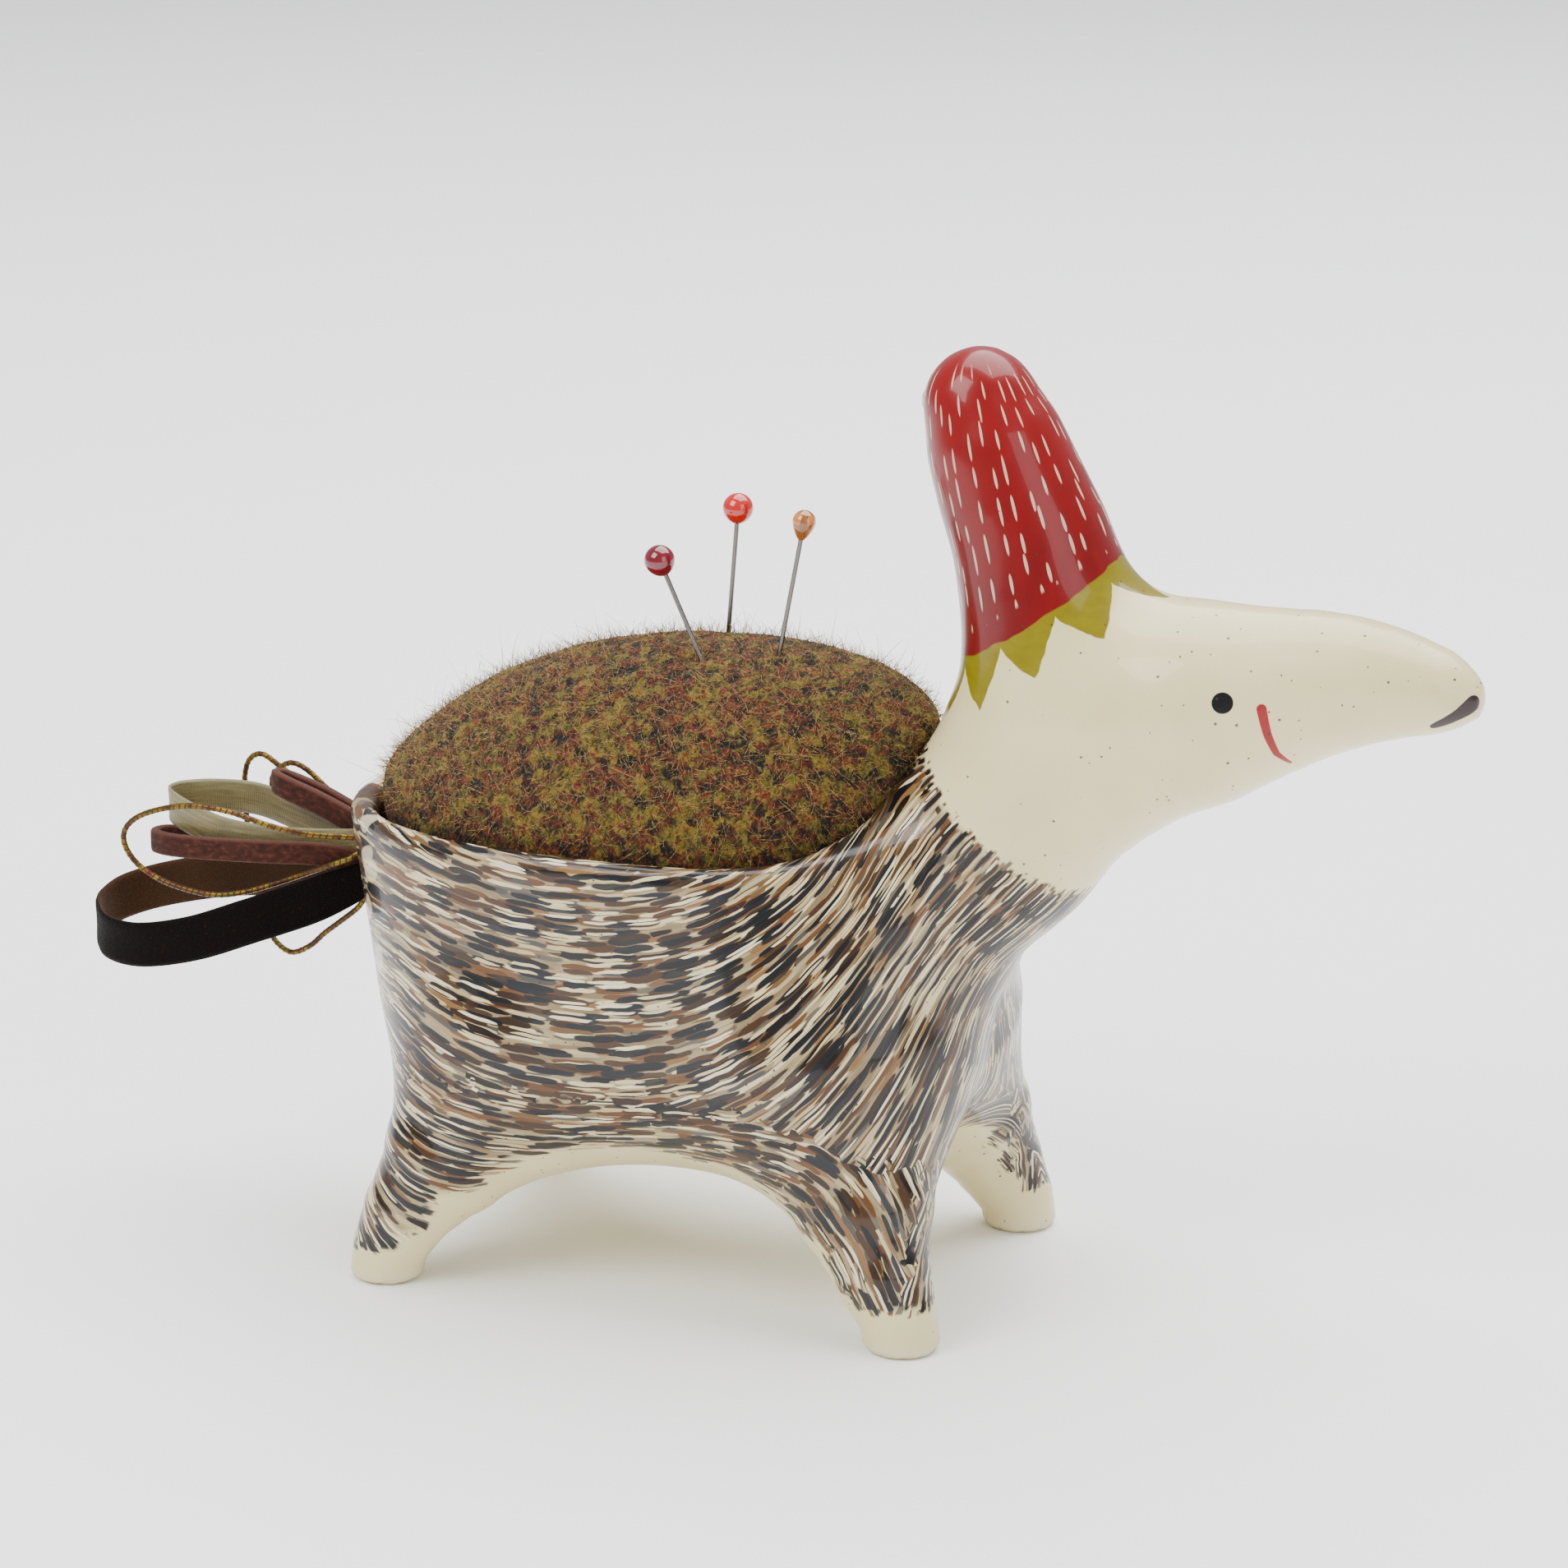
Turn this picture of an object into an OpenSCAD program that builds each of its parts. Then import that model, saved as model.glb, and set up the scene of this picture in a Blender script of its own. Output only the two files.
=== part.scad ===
// Pin cushion: a four-legged glazed animal whose hollow back holds a tweed pad,
// with three glass-headed pins and a tail of ribbon and cord loops.
// Millimetres, +Z up, +X towards the snout, feet on z = 0.

/* [Ceramic body] */
// Length of the bowl's rim, tail side to neck side
body_len = 81; // [67:0.5:98]
// Width of the bowl's rim
body_w = 54; // [45:0.5:65]
// Height of the rim above the table
rim_h = 61; // [55:0.5:74]
// Height of the belly above the table
belly_h = 14.5; // [12:0.5:17.5]
// Thickness of the clay wall
wall = 3.5; // [2.8:0.1:4.2]
// Radius of a foot
foot_r = 4.7; // [3.9:0.1:5.6]
// Radius of the neck at its thinnest
neck_r = 11.6; // [9.6:0.1:13.9]
// Length of the snout, from the middle of the head to its tip
snout_len = 52.5; // [43:0.5:63]
// Height of the cap, from the middle of the head to its top
cap_h = 43.5; // [36:0.5:52]
// Radius of the tail hole in the rear wall
tail_hole_r = 5.8; // [5.8:0.1:7]
// Depth of the tail hole's middle below the rim
tail_hole_drop = 11.7; // [11:0.1:13]

/* [Pad] */
// Height of the pad's crown above the rim
pad_rise = 23.5; // [19:0.5:28]
// Gap between the pad and the clay wall
pad_gap = 0.4; // [0.3:0.1:0.6]
// Thickness of the tweed
cloth_t = 1.6; // [1.3:0.1:1.9]
// Thickness of the card under the stuffing
card_t = 1.5; // [1.2:0.1:1.8]
// Thickness of the gathering thread
thread_d = 0.8; // [0.6:0.1:1]
// Height of the glue bead on the bowl's floor
glue_h = 2.6; // [2.1:0.1:3.1]

/* [Pins] */
// Diameter of a pin's shaft
pin_d = 0.6; // [0.5:0.05:0.8]
// Running clearance round a shaft, on the radius
pin_clear = 0.05; // [0.03:0.01:0.08]
// Length from the middle of the head to the point
pin_len = 32; // [27:0.5:38]
// Diameter of a ball head
ball_d = 4; // [3.3:0.1:4.8]
// Diameter of the drop-shaped head
drop_d = 3; // [2.5:0.1:3.6]

/* [Tail] */
// Width and thickness of the velvet ribbon
velvet_w = 6.2; // [5.2:0.1:6.6]
// Thickness of the velvet ribbon
velvet_t = 0.9; // [0.7:0.1:1]
// Width of the satin ribbon
satin_w = 4.6; // [3.9:0.1:4.8]
// Thickness of the satin ribbon
satin_t = 0.4; // [0.3:0.1:0.5]
// Width of the suede lace
suede_w = 3; // [2.5:0.1:3.2]
// Thickness of the suede lace
suede_t = 1.3; // [1.1:0.1:1.4]
// Diameter of the metallic cord
cord_d = 0.8; // [0.6:0.1:0.9]
// Thickness of the whipping round the gathered ends
whip_t = 1; // [0.8:0.1:1.2]

/* [Hidden] */
mid_x = -35;                         // middle of the bowl
rear_x = mid_x - body_len / 2;       // rim, tail side
front_x = mid_x + body_len / 2;      // rim, neck side
half_w = body_w / 2;
inner_a = body_len / 2 - wall;       // inner half length at the rim
inner_b = half_w - wall;             // inner half width at the rim
floor_z = belly_h + wall + 1;
floor_rear = 0.53;                   // the floor's edge, as shares of the inner half length
floor_front = 0.72;
floor_side = 0.6;                    // and of the inner half width
crown_z = rim_h + pad_rise;
head_z = rim_h + 20;                 // middle of the head
head_x = front_x + 16.5;
squareness = 2.35;                   // plan exponent: 2 is an ellipse
sides = 42;                          // facets round the bowl and the pad
leg_facets = 20;
tube_facets = 26;                    // facets round the neck, cap and snout
snout_turn = 1.5;                    // keeps the snout's facets off the neck's
tail_z = rim_h - tail_hole_drop;
tail_pivot_x = rear_x + 2.5;

// ---- shared geometry -------------------------------------------------------

// One plan outline between xr and xf, half width b, at height z
function outline(xr, xf, b, z, n = sides) = [for (i = [0:n - 1])
    let (a = 360 * i / n, c = cos(a), s = sin(a), e = 2 / squareness)
    [(xr + xf) / 2 + (xf - xr) / 2 * sign(c) * pow(abs(c), e), b * sign(s) * pow(abs(s), e), z]];

// Triangles that join nr rings of n points, closed at both ends
function ring_faces(nr, n) = concat(
    [for (r = [0:nr - 2]) for (i = [0:n - 1]) [r * n + i, (r + 1) * n + i, r * n + (i + 1) % n]],
    [for (r = [0:nr - 2]) for (i = [0:n - 1])
        [(r + 1) * n + i, (r + 1) * n + (i + 1) % n, r * n + (i + 1) % n]],
    [for (i = [1:n - 2]) [0, i, i + 1]],
    [for (i = [1:n - 2]) [(nr - 1) * n, (nr - 1) * n + i + 1, (nr - 1) * n + i]]);

module loft(rings) {
    polyhedron(points = [for (r = rings) each r], faces = ring_faces(len(rings), len(rings[0])));
}

// Catmull-Rom point between b and c
function between(a, b, c, d, t) = 0.5 * (2 * b + (c - a) * t
    + (2 * a - 5 * b + 4 * c - d) * t * t + (3 * b - a - 3 * c + d) * t * t * t);

// A route with steps spans between each pair of its points
function smoothed(p, steps) = let (m = len(p) - 1) concat(
    [for (i = [0:m - 1]) for (j = [0:steps - 1])
        between(p[max(i - 1, 0)], p[i], p[i + 1], p[min(i + 2, m)], j / steps)], [p[m]]);

function unit(v) = v / norm(v);
function place(q) = [q[0], q[1], q[2]];
function heading(p, i) = unit(place(p[min(i + 1, len(p) - 1)]) - place(p[max(i - 1, 0)]));

// Rings of a round cord of radius r along p
function cord_rings(p, r) = [for (i = [0:len(p) - 1])
    let (t = heading(p, i), u = unit(cross([0, 1, 0], t)), v = cross(t, u))
    [for (k = [0:7]) place(p[i]) + r * (cos(45 * k) * u + sin(45 * k) * v)]];

// Rings of a ribbon of thickness h along p; the fourth value of a point is its width there
function ribbon_rings(p, h) = [for (i = [0:len(p) - 1])
    let (t = heading(p, i), s = unit(cross([0, 0, 1], t)), u = cross(t, s), w = p[i][3] / 2)
    [for (c = [[1, 1], [-1, 1], [-1, -1], [1, -1]]) place(p[i]) + c[0] * h / 2 * s + c[1] * w * u]];

// A tube in the plane y = 0 through stations of [x, z, radius], its first facet at angle start
function tube_rings(p, start = 0) = [for (i = [0:len(p) - 1])
    let (a = p[max(i - 1, 0)], b = p[min(i + 1, len(p) - 1)], t = unit([b[0] - a[0], 0, b[1] - a[1]]),
        u = cross([0, 1, 0], t))
    [for (k = [0:tube_facets - 1]) let (turn = start + 360 * k / tube_facets)
        [p[i][0], 0, p[i][1]] + p[i][2] * (cos(turn) * u + sin(turn) * [0, 1, 0])]];

// ---- ceramic body ----------------------------------------------------------

// Torso outline by height: share of the height, then inset from the rim at the rear, front, sides
torso_rows = [[0, 24, 14, 14], [0.05, 17, 8, 8.5], [0.16, 8.5, -0.5, 3], [0.33, 5.5, -5.5, 1],
    [0.55, 3, -5.5, 0], [0.8, 1, -3.5, -0.3], [1, 0, 0, 0]];

module torso(inset = 0, low = 0) {
    rows = [for (r = torso_rows) if (r[0] >= low) r];
    loft(concat(
        inset > 0 ? [outline(mid_x - floor_rear * inner_a, mid_x + floor_front * inner_a,
            floor_side * inner_b, floor_z)] : [],
        [for (r = rows) outline(rear_x + r[1] + inset, front_x - r[2] - inset, half_w - r[3] - inset,
            belly_h + r[0] * (rim_h - belly_h) + min(inset, 1) * (1 - r[0]))],
        inset > 0 ? [outline(rear_x + inset, front_x - inset, half_w - inset, rim_h + 29)]
            : [outline(rear_x + 1, front_x - 1, half_w - 1, rim_h + 1)]));
}

// Leg: foot, ankle, knee and hip, each [x, y, z, radius]
module leg(joints) {
    for (i = [0:len(joints) - 2]) hull() {
        translate(place(joints[i])) sphere(r = joints[i][3], $fn = leg_facets);
        translate(place(joints[i + 1])) sphere(r = joints[i + 1][3], $fn = leg_facets);
    }
}

module legs() {
    for (side = [-1, 1]) {
        leg([[rear_x + 13, side * (half_w - 2.3), foot_r - 0.6, foot_r],
            [rear_x + 16.5, side * (half_w - 3.5), 9.5, foot_r + 1.4],
            [rear_x + 21, side * (half_w - 7), 16, foot_r + 3.9],
            [rear_x + 27, side * (half_w - 14), 28, foot_r + 8.3]]);
        leg([[front_x + 3, side * (half_w - 3.5), foot_r - 0.6, foot_r],
            [front_x, side * (half_w - 4.5), 9.5, foot_r + 1.6],
            [front_x - 3.5, side * (half_w - 7.5), 16, foot_r + 4.1],
            [front_x - 8.5, side * (half_w - 14), 28, foot_r + 9.3]]);
    }
}

// Neck, back of the head and cap, as [x, z, radius]; shrink makes the hollow inside
function neck_line(shrink = 0) = [
    [front_x - 3, rim_h - 8.5, neck_r + 2.9 - shrink],
    [front_x + 8.5, rim_h + 2, neck_r - shrink],
    [front_x + 13.5, rim_h + 10.5, neck_r + 0.6 - shrink],
    [front_x + 16, head_z + 1, neck_r + 1.1 - shrink],
    [head_x - 2, head_z + 0.21 * cap_h, neck_r + 0.1 - shrink],
    [head_x - 4.7, head_z + 0.43 * cap_h, 10.5 - shrink],
    [head_x - 7.4, head_z + 0.58 * cap_h, 9.9 - shrink],
    [head_x - 9.6, head_z + 0.70 * cap_h, 9.2 - shrink],
    [head_x - 11.6, head_z + 0.83 * cap_h, 7.9 - shrink]];

// Snout as [share of its length, rise above the head's middle, radius]
snout_rows = [[0, -3, 13.5], [0.19, -0.5, 13.8], [0.31, 0.7, 13.2], [0.4, 2, 11.7], [0.5, 3.3, 10.4],
    [0.59, 4.6, 9.4], [0.69, 5.4, 8.4], [0.79, 5.6, 7.1], [0.88, 5.2, 5.6], [0.93, 4.8, 4.4]];
function snout_line(shrink = 0) = [for (s = snout_rows)
    [head_x + 1 + s[0] * snout_len, head_z + s[1], max(s[2] - shrink, 1)]];

module head_shape() {
    n = neck_line();
    s = snout_line();
    loft(tube_rings(smoothed(concat([[front_x - 14.5, rim_h - 19, neck_r + 6.4]], n), 2)));
    translate([n[8][0], 0, head_z + cap_h - 7.5 + 0.5]) sphere(r = 7.5, $fn = 32);
    loft(tube_rings(smoothed(s, 2), snout_turn));
    translate([head_x + 1 + snout_len - 3.9, 0, head_z + 4.6]) sphere(r = 3.9, $fn = 24);
}

// Hollow neck and head, joined to the bowl by a narrow vent behind the pad
module head_hollow() {
    n = neck_line(wall);
    loft(tube_rings(smoothed(concat([[front_x - 10, rim_h - 14.5, 3], [front_x + 1, rim_h - 5, 3]],
        [for (i = [1:7]) n[i]]), 1)));
    loft(tube_rings([for (i = [0:6]) snout_line(wall)[i]], snout_turn));
}

// Bowl, legs, neck, head and cap in one piece of fired clay
module ceramic_body() {
    color("linen") difference() {
        union() {
            torso();
            legs();
            head_shape();
        }
        torso(wall, 0.16);
        head_hollow();
        translate([tail_pivot_x, 0, tail_z]) rotate([0, 90, 0])
            cylinder(r = tail_hole_r, h = 4 * wall, center = true, $fn = 32);
        translate([-200, -200, -40]) cube([400, 400, 40]);
    }
}

// ---- pad -------------------------------------------------------------------

// Pad outline by height: height, then shares of the rim's inner half length
// (rear, front) and inner half width
pad_foot_z = floor_z + glue_h + 0.2;
pad_rows = [
    [pad_foot_z, 0.62, 0.62, 0.60],
    [pad_foot_z + 8, 0.72, 0.76, 0.80],
    [tail_z - 6, 0.76, 0.90, 0.92],
    [tail_z + 6.7, 0.79, 0.96, 0.96],
    [rim_h - 1.5, 0.985, 0.985, 0.985],
    [rim_h + 0.13 * pad_rise, 0.985, 0.99, 0.975],
    [rim_h + 0.21 * pad_rise, 0.95, 0.975, 0.95],
    [rim_h + 0.38 * pad_rise, 0.835, 1.03, 0.868],
    [rim_h + 0.64 * pad_rise, 0.605, 1.09, 0.694],
    [rim_h + 0.85 * pad_rise, 0.286, 0.93, 0.46],
    [rim_h + 0.96 * pad_rise, -0.03, 0.70, 0.234],
    [crown_z, -0.27, 0.49, 0.085]];

// shrink is how far the outline stands in from the pad's outside
module pad_form(shrink, low, high) {
    a = inner_a - pad_gap;
    b = inner_b - pad_gap;
    loft([for (i = [0:len(pad_rows) - 1]) let (r = pad_rows[i], last = i == len(pad_rows) - 1)
        outline(mid_x - r[1] * a + shrink, mid_x + r[2] * a - shrink, r[3] * b - min(shrink, r[3] * b * 0.9),
            i == 0 ? low : last ? high : r[0] - (r[0] > rim_h + 10 ? shrink * 0.6 : 0))]);
}

// Pins as [entry x, entry y, dip below the crown, lean towards the snout, height of the head, head diameter]
pins = [
    [mid_x + 10, -6.5, 1.1, -24.6, 13.2, ball_d],
    [mid_x + 9.7, 4, 0.6, 4.8, 16.7, ball_d],
    [mid_x + 19.7, -3.5, 0.8, 10.9, 18, drop_d]];

module at_pin(p) {
    translate([p[0], p[1], crown_z - p[2]]) rotate([0, p[3], 0]) children();
}

// Free path of each pin through the pad, as deep as it can be pushed
module pin_bores() {
    for (p = pins) at_pin(p)
        translate([0, 0, -(pin_len - 1)]) cylinder(d = pin_d + 2 * pin_clear, h = pin_len + 5, $fn = 24);
}

hem_a = 0.36 * inner_a;              // half length of the opening left under the pad
hem_b = 0.36 * inner_b;
module oval(a, b, z, h) {
    loft([outline(mid_x - a, mid_x + a, b, z), outline(mid_x - a, mid_x + a, b, z + h)]);
}

// Tweed drawn over the stuffing and gathered under the card
module pad_cover() {
    color("olivedrab") difference() {
        pad_form(0, pad_foot_z, crown_z);
        pad_form(cloth_t, pad_foot_z + cloth_t, crown_z - cloth_t);
        oval(hem_a, hem_b, pad_foot_z - 1, cloth_t + 2);
        pin_bores();
    }
}

card_z = pad_foot_z + cloth_t + 0.1;
// Firm stuffing above the card
module pad_stuffing() {
    color("wheat") difference() {
        pad_form(cloth_t + 0.2, card_z + card_t + 0.1, crown_z - cloth_t - 0.2);
        pin_bores();
    }
}

// Oval card that keeps the pad's underside flat
module base_card() {
    color("tan") oval(0.54 * inner_a, 0.49 * inner_b, card_z, card_t);
}

// Oval ring of round section, of half length a and half width b
module oval_ring(a, b, z, r) {
    path = [for (k = [0:24]) [mid_x + a * cos(15 * k), b * sin(15 * k), z]];
    rings = [for (k = [0:23])
        let (t = unit([-a * sin(15 * k), b * cos(15 * k), 0]), u = cross(t, [0, 0, 1]))
        [for (j = [0:7]) path[k] + r * (cos(45 * j) * u + sin(45 * j) * [0, 0, 1])]];
    faces = [for (k = [0:23]) for (j = [0:7])
        let (a0 = k * 8 + j, a1 = k * 8 + (j + 1) % 8, after = (k + 1) % 24 * 8,
            b0 = after + j, b1 = after + (j + 1) % 8)
        each [[a0, a1, b0], [a1, b1, b0]]];
    polyhedron(points = [for (r0 = rings) each r0], faces = faces);
}

// Running stitch that draws the tweed's edge together
module gather_thread() {
    color("dimgray") oval_ring(hem_a - thread_d, hem_b - thread_d, pad_foot_z + cloth_t / 2, thread_d / 2);
}

// Glue between the bowl's floor and the pad
module glue_bead() {
    color("ivory") oval_ring((floor_rear - 0.08) * inner_a, (floor_side - 0.18) * inner_b,
        floor_z + glue_h / 2 + 0.05, glue_h / 2);
}

// ---- pins ------------------------------------------------------------------

module pin_shaft(i) {
    color("silver") at_pin(pins[i]) {
        translate([0, 0, pins[i][4] - pin_len + 2]) cylinder(d = pin_d, h = pin_len - 1.5, $fn = 24);
        translate([0, 0, pins[i][4] - pin_len]) cylinder(d1 = 0.08, d2 = pin_d, h = 2, $fn = 24);
    }
}

// Socket that the shaft fills in its head
module shaft_socket() {
    translate([0, 0, -5]) cylinder(d = pin_d, h = 5.5, $fn = 24);
}

module ball_head(i, tint) {
    color(tint) at_pin(pins[i]) translate([0, 0, pins[i][4]]) difference() {
        sphere(d = pins[i][5], $fn = 48);
        shaft_socket();
    }
}

// Drop-shaped head that tapers down onto the shaft
module drop_head(i, tint) {
    r = pins[i][5] / 2;
    color(tint) at_pin(pins[i]) translate([0, 0, pins[i][4]]) difference() {
        union() {
            sphere(r = r, $fn = 48);
            translate([0, 0, -1.75 * r])
                cylinder(r1 = 0.32 * r, r2 = r * cos(25), h = (1.75 - sin(25)) * r, $fn = 48);
        }
        shaft_socket();
    }
}

module pin_1_shaft() { pin_shaft(0); }
module pin_1_head() { ball_head(0, "firebrick"); }
module pin_2_shaft() { pin_shaft(1); }
module pin_2_head() { ball_head(1, "red"); }
module pin_3_shaft() { pin_shaft(2); }
module pin_3_head() { drop_head(2, "orange"); }

// ---- tail ------------------------------------------------------------------

// Routes from inside the bowl, out through the hole, round a loop and back.
// Ribbon points are [x, y, z, width as a share of the full width].
velvet_route = [[-66.6, -2.6, 47.5, 0.66], [-70.5, -2.6, 47.5, 0.66], [-74.6, -2.7, 47.3, 0.68],
    [-78, -3.6, 45.6, 0.87], [-83, -5, 43.3, 1], [-91, -7, 40.2, 1], [-99, -8, 37.2, 1],
    [-107, -7.9, 35.4, 1], [-113, -6, 35.3, 1], [-116.3, -2.6, 36.2, 1], [-117, 0.6, 36.9, 1],
    [-115.8, 4.2, 37.9, 1], [-111.5, 7.1, 39.2, 1], [-104, 8.3, 40.9, 1], [-96, 7.8, 42.3, 1],
    [-88, 6.2, 43.6, 1], [-81, 4.5, 44.9, 0.96], [-77.5, 3.3, 46.2, 0.8], [-74.6, 2.7, 47.3, 0.68],
    [-70.5, 2.6, 47.5, 0.66], [-66.6, 2.6, 47.5, 0.66]];
satin_route = [[-66.6, -0.9, 51.9, 0.7], [-70.5, -0.9, 51.9, 0.7], [-74.6, -0.9, 51.8, 0.72],
    [-79, -1, 50.9, 0.9], [-85, -1.3, 50.2, 1], [-92, -1.5, 50, 1], [-98, -1.5, 50.6, 1],
    [-103, -0.8, 52, 1], [-106.2, 0.6, 53, 1], [-106.8, 2.4, 53.2, 1], [-105.4, 4.4, 53.3, 1],
    [-101.5, 6, 53.4, 1], [-96, 6.8, 53.2, 1], [-90, 6.2, 52, 1], [-84.5, 5.1, 50.9, 1],
    [-79.5, 4.2, 50.7, 0.9], [-74.6, 3.3, 51.2, 0.58], [-70.5, 3.3, 51.2, 0.56], [-66.6, 3.3, 51.2, 0.56]];
suede_long_route = [[-66.6, -1.2, 47.7, 0.96], [-70.5, -1.2, 47.7, 0.96], [-74.6, -1.4, 47.8, 0.96],
    [-78, -2.4, 49.2, 1], [-83, -3, 49.6, 1], [-90, -3.4, 49.2, 1], [-98, -3.5, 48.8, 1],
    [-104, -3.3, 48.6, 1], [-107, -2.4, 48.6, 1], [-107.6, -1, 48.6, 1], [-106.6, 0.4, 48.6, 1],
    [-103, 1, 48.5, 1], [-96, 1, 48.4, 1], [-88, 1, 48.5, 1], [-80, 1.1, 48.3, 1],
    [-74.6, 1.2, 47.8, 0.96], [-70.5, 1.2, 47.7, 0.96], [-66.6, 1.2, 47.7, 0.96]];
suede_short_route = [[-66.6, 0.5, 51.8, 0.93], [-70.5, 0.5, 51.8, 0.93], [-74.6, 0.5, 52, 0.93],
    [-79.5, 0.9, 53.8, 1], [-84.5, 1.3, 55.6, 1], [-89, 1.7, 56.9, 1], [-90.9, 2.4, 57.4, 1],
    [-91, 3.4, 57.4, 1], [-89.4, 4.1, 56.9, 1], [-84.5, 3.7, 55.6, 1], [-79.5, 2.8, 53.9, 1],
    [-74.6, 2.1, 52, 0.93], [-70.5, 2.1, 51.8, 0.93], [-66.6, 2.1, 51.8, 0.93]];
cord_1_route = [[-66.6, -2.6, 52.5], [-74.6, -2.6, 52.5], [-82, -5, 52.9], [-87.6, -6, 53.8],
    [-93.8, -6.2, 55.2], [-100.2, -6, 55.3], [-106.6, -5.6, 53.5], [-110, -5.2, 51.1],
    [-110.5, -5, 48.4], [-108.3, -5, 45.6], [-103.8, -5.2, 43.7], [-97.5, -5.4, 42.9],
    [-92.7, -5, 43.6], [-88, -4.4, 45.2], [-84, -3.9, 46.8], [-80, -4.6, 48.6], [-77, -4.3, 49.8],
    [-74.6, -3.4, 50.9], [-66.6, -3.4, 50.9]];
cord_2_route = [[-66.6, 4.4, 48.8], [-74.6, 4.4, 48.8], [-78, 5.8, 48.9], [-82.4, 8, 50.6],
    [-88.3, 9, 54], [-93.9, 9.3, 57.5], [-96.7, 9.4, 58.9], [-98.8, 9.6, 57.7], [-99.8, 10, 54.5],
    [-100, 10.6, 49.5], [-99.6, 10.8, 43.5], [-98, 10, 39], [-95.6, 7.4, 36], [-93, 4.2, 34.3],
    [-89.6, 2.6, 33.2], [-86.4, 2, 34.6], [-83.8, 1.5, 36.9], [-81.4, 1, 38.8], [-78.3, 0.4, 41.3],
    [-74.6, -0.2, 44.8], [-66.6, -0.2, 44.8]];
cord_3_route = [[-66.6, 4.4, 50.2], [-74.6, 4.4, 50.2], [-78, 5.2, 51.2], [-81.1, 6, 53],
    [-84.9, 6.2, 55.8], [-88.3, 6.3, 58.4], [-90.8, 6.5, 59], [-93.1, 7, 57.6], [-94.4, 7.8, 55.7],
    [-94.4, 9, 52.5], [-92, 10.4, 49.5], [-88, 10.2, 46.5], [-84, 8.8, 43.8], [-81, 6.8, 42],
    [-78.6, 4.6, 41.5], [-76.8, 2.8, 42.6], [-74.6, 1.3, 44.8], [-66.6, 1.3, 44.8]];

function full_width(route, w) = [for (q = route) [q[0], q[1], q[2], q[3] * w]];

module ribbon(route, w, t) {
    loft(ribbon_rings(smoothed(full_width(route, w), 2), t));
}
module cord(route, steps) {
    loft(cord_rings(smoothed(route, steps), cord_d / 2));
}

module velvet_loop() { color("#2a1c14") ribbon(velvet_route, velvet_w, velvet_t); }
module satin_loop() { color("#8f8a62") ribbon(satin_route, satin_w, satin_t); }
module suede_loop_long() { color("#7a4a3a") ribbon(suede_long_route, suede_w, suede_t); }
module suede_loop_short() { color("#7a4a3a") ribbon(suede_short_route, suede_w, suede_t); }
module metallic_cord_1() { color("goldenrod") cord(cord_1_route, 1); }
module metallic_cord_2() { color("goldenrod") cord(cord_2_route, 1); }
module metallic_cord_3() { color("goldenrod") cord(cord_3_route, 1); }

// Thread wound round the gathered ends: wider than the hole, so it holds them in
whip_inner_r = tail_hole_r - 0.6;
module tail_whipping() {
    color("dimgray") translate([tail_pivot_x + 5.1, 0, tail_z]) rotate([0, 90, 0]) difference() {
        cylinder(r = whip_inner_r + whip_t, h = 1.8, $fn = 48);
        translate([0, 0, -1]) cylinder(r = whip_inner_r, h = 4, $fn = 48);
    }
}

ceramic_body();
pad_cover();
pad_stuffing();
base_card();
gather_thread();
glue_bead();
pin_1_shaft();
pin_1_head();
pin_2_shaft();
pin_2_head();
pin_3_shaft();
pin_3_head();
velvet_loop();
satin_loop();
suede_loop_long();
suede_loop_short();
metallic_cord_1();
metallic_cord_2();
metallic_cord_3();
tail_whipping();
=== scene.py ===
import bpy, math
import numpy as np
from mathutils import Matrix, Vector


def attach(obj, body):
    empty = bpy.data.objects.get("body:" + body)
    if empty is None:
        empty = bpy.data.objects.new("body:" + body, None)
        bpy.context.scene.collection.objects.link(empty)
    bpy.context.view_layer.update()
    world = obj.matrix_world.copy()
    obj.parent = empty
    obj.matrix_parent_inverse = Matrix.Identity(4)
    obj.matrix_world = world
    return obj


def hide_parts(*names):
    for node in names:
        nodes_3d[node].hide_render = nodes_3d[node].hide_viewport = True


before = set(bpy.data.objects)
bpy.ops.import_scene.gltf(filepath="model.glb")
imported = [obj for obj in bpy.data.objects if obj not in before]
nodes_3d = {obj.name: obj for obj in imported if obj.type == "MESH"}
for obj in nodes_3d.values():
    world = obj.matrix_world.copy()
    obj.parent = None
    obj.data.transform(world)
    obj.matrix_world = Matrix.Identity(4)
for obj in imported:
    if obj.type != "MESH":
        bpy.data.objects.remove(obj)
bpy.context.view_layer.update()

# --- Camera and light ---------------------------------------------------------
# A long lens a little above the table, turned so that the animal's right side
# and some of its front show, in soft white light from large panels.
scene = bpy.context.scene
CAMERA_AZIMUTH, CAMERA_RISE = math.radians(21.25), math.radians(16)
CAMERA_DISTANCE, CAMERA_WIDTH = 0.62, 0.203
aim = Vector((-0.016, 0, 0.0655))
toward_camera = Vector((math.sin(CAMERA_AZIMUTH) * math.cos(CAMERA_RISE),
                        -math.cos(CAMERA_AZIMUTH) * math.cos(CAMERA_RISE), math.sin(CAMERA_RISE)))
camera_data = bpy.data.cameras.new("camera")
camera_data.sensor_fit = "HORIZONTAL"
camera_data.angle = 2 * math.atan(CAMERA_WIDTH / 2 / CAMERA_DISTANCE)
camera_data.clip_start, camera_data.clip_end = 0.01, 20
camera = bpy.data.objects.new("camera", camera_data)
camera.location = aim + toward_camera * CAMERA_DISTANCE
camera.rotation_euler = toward_camera.to_track_quat("Z", "Y").to_euler()
scene.collection.objects.link(camera)
scene.camera = camera


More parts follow.
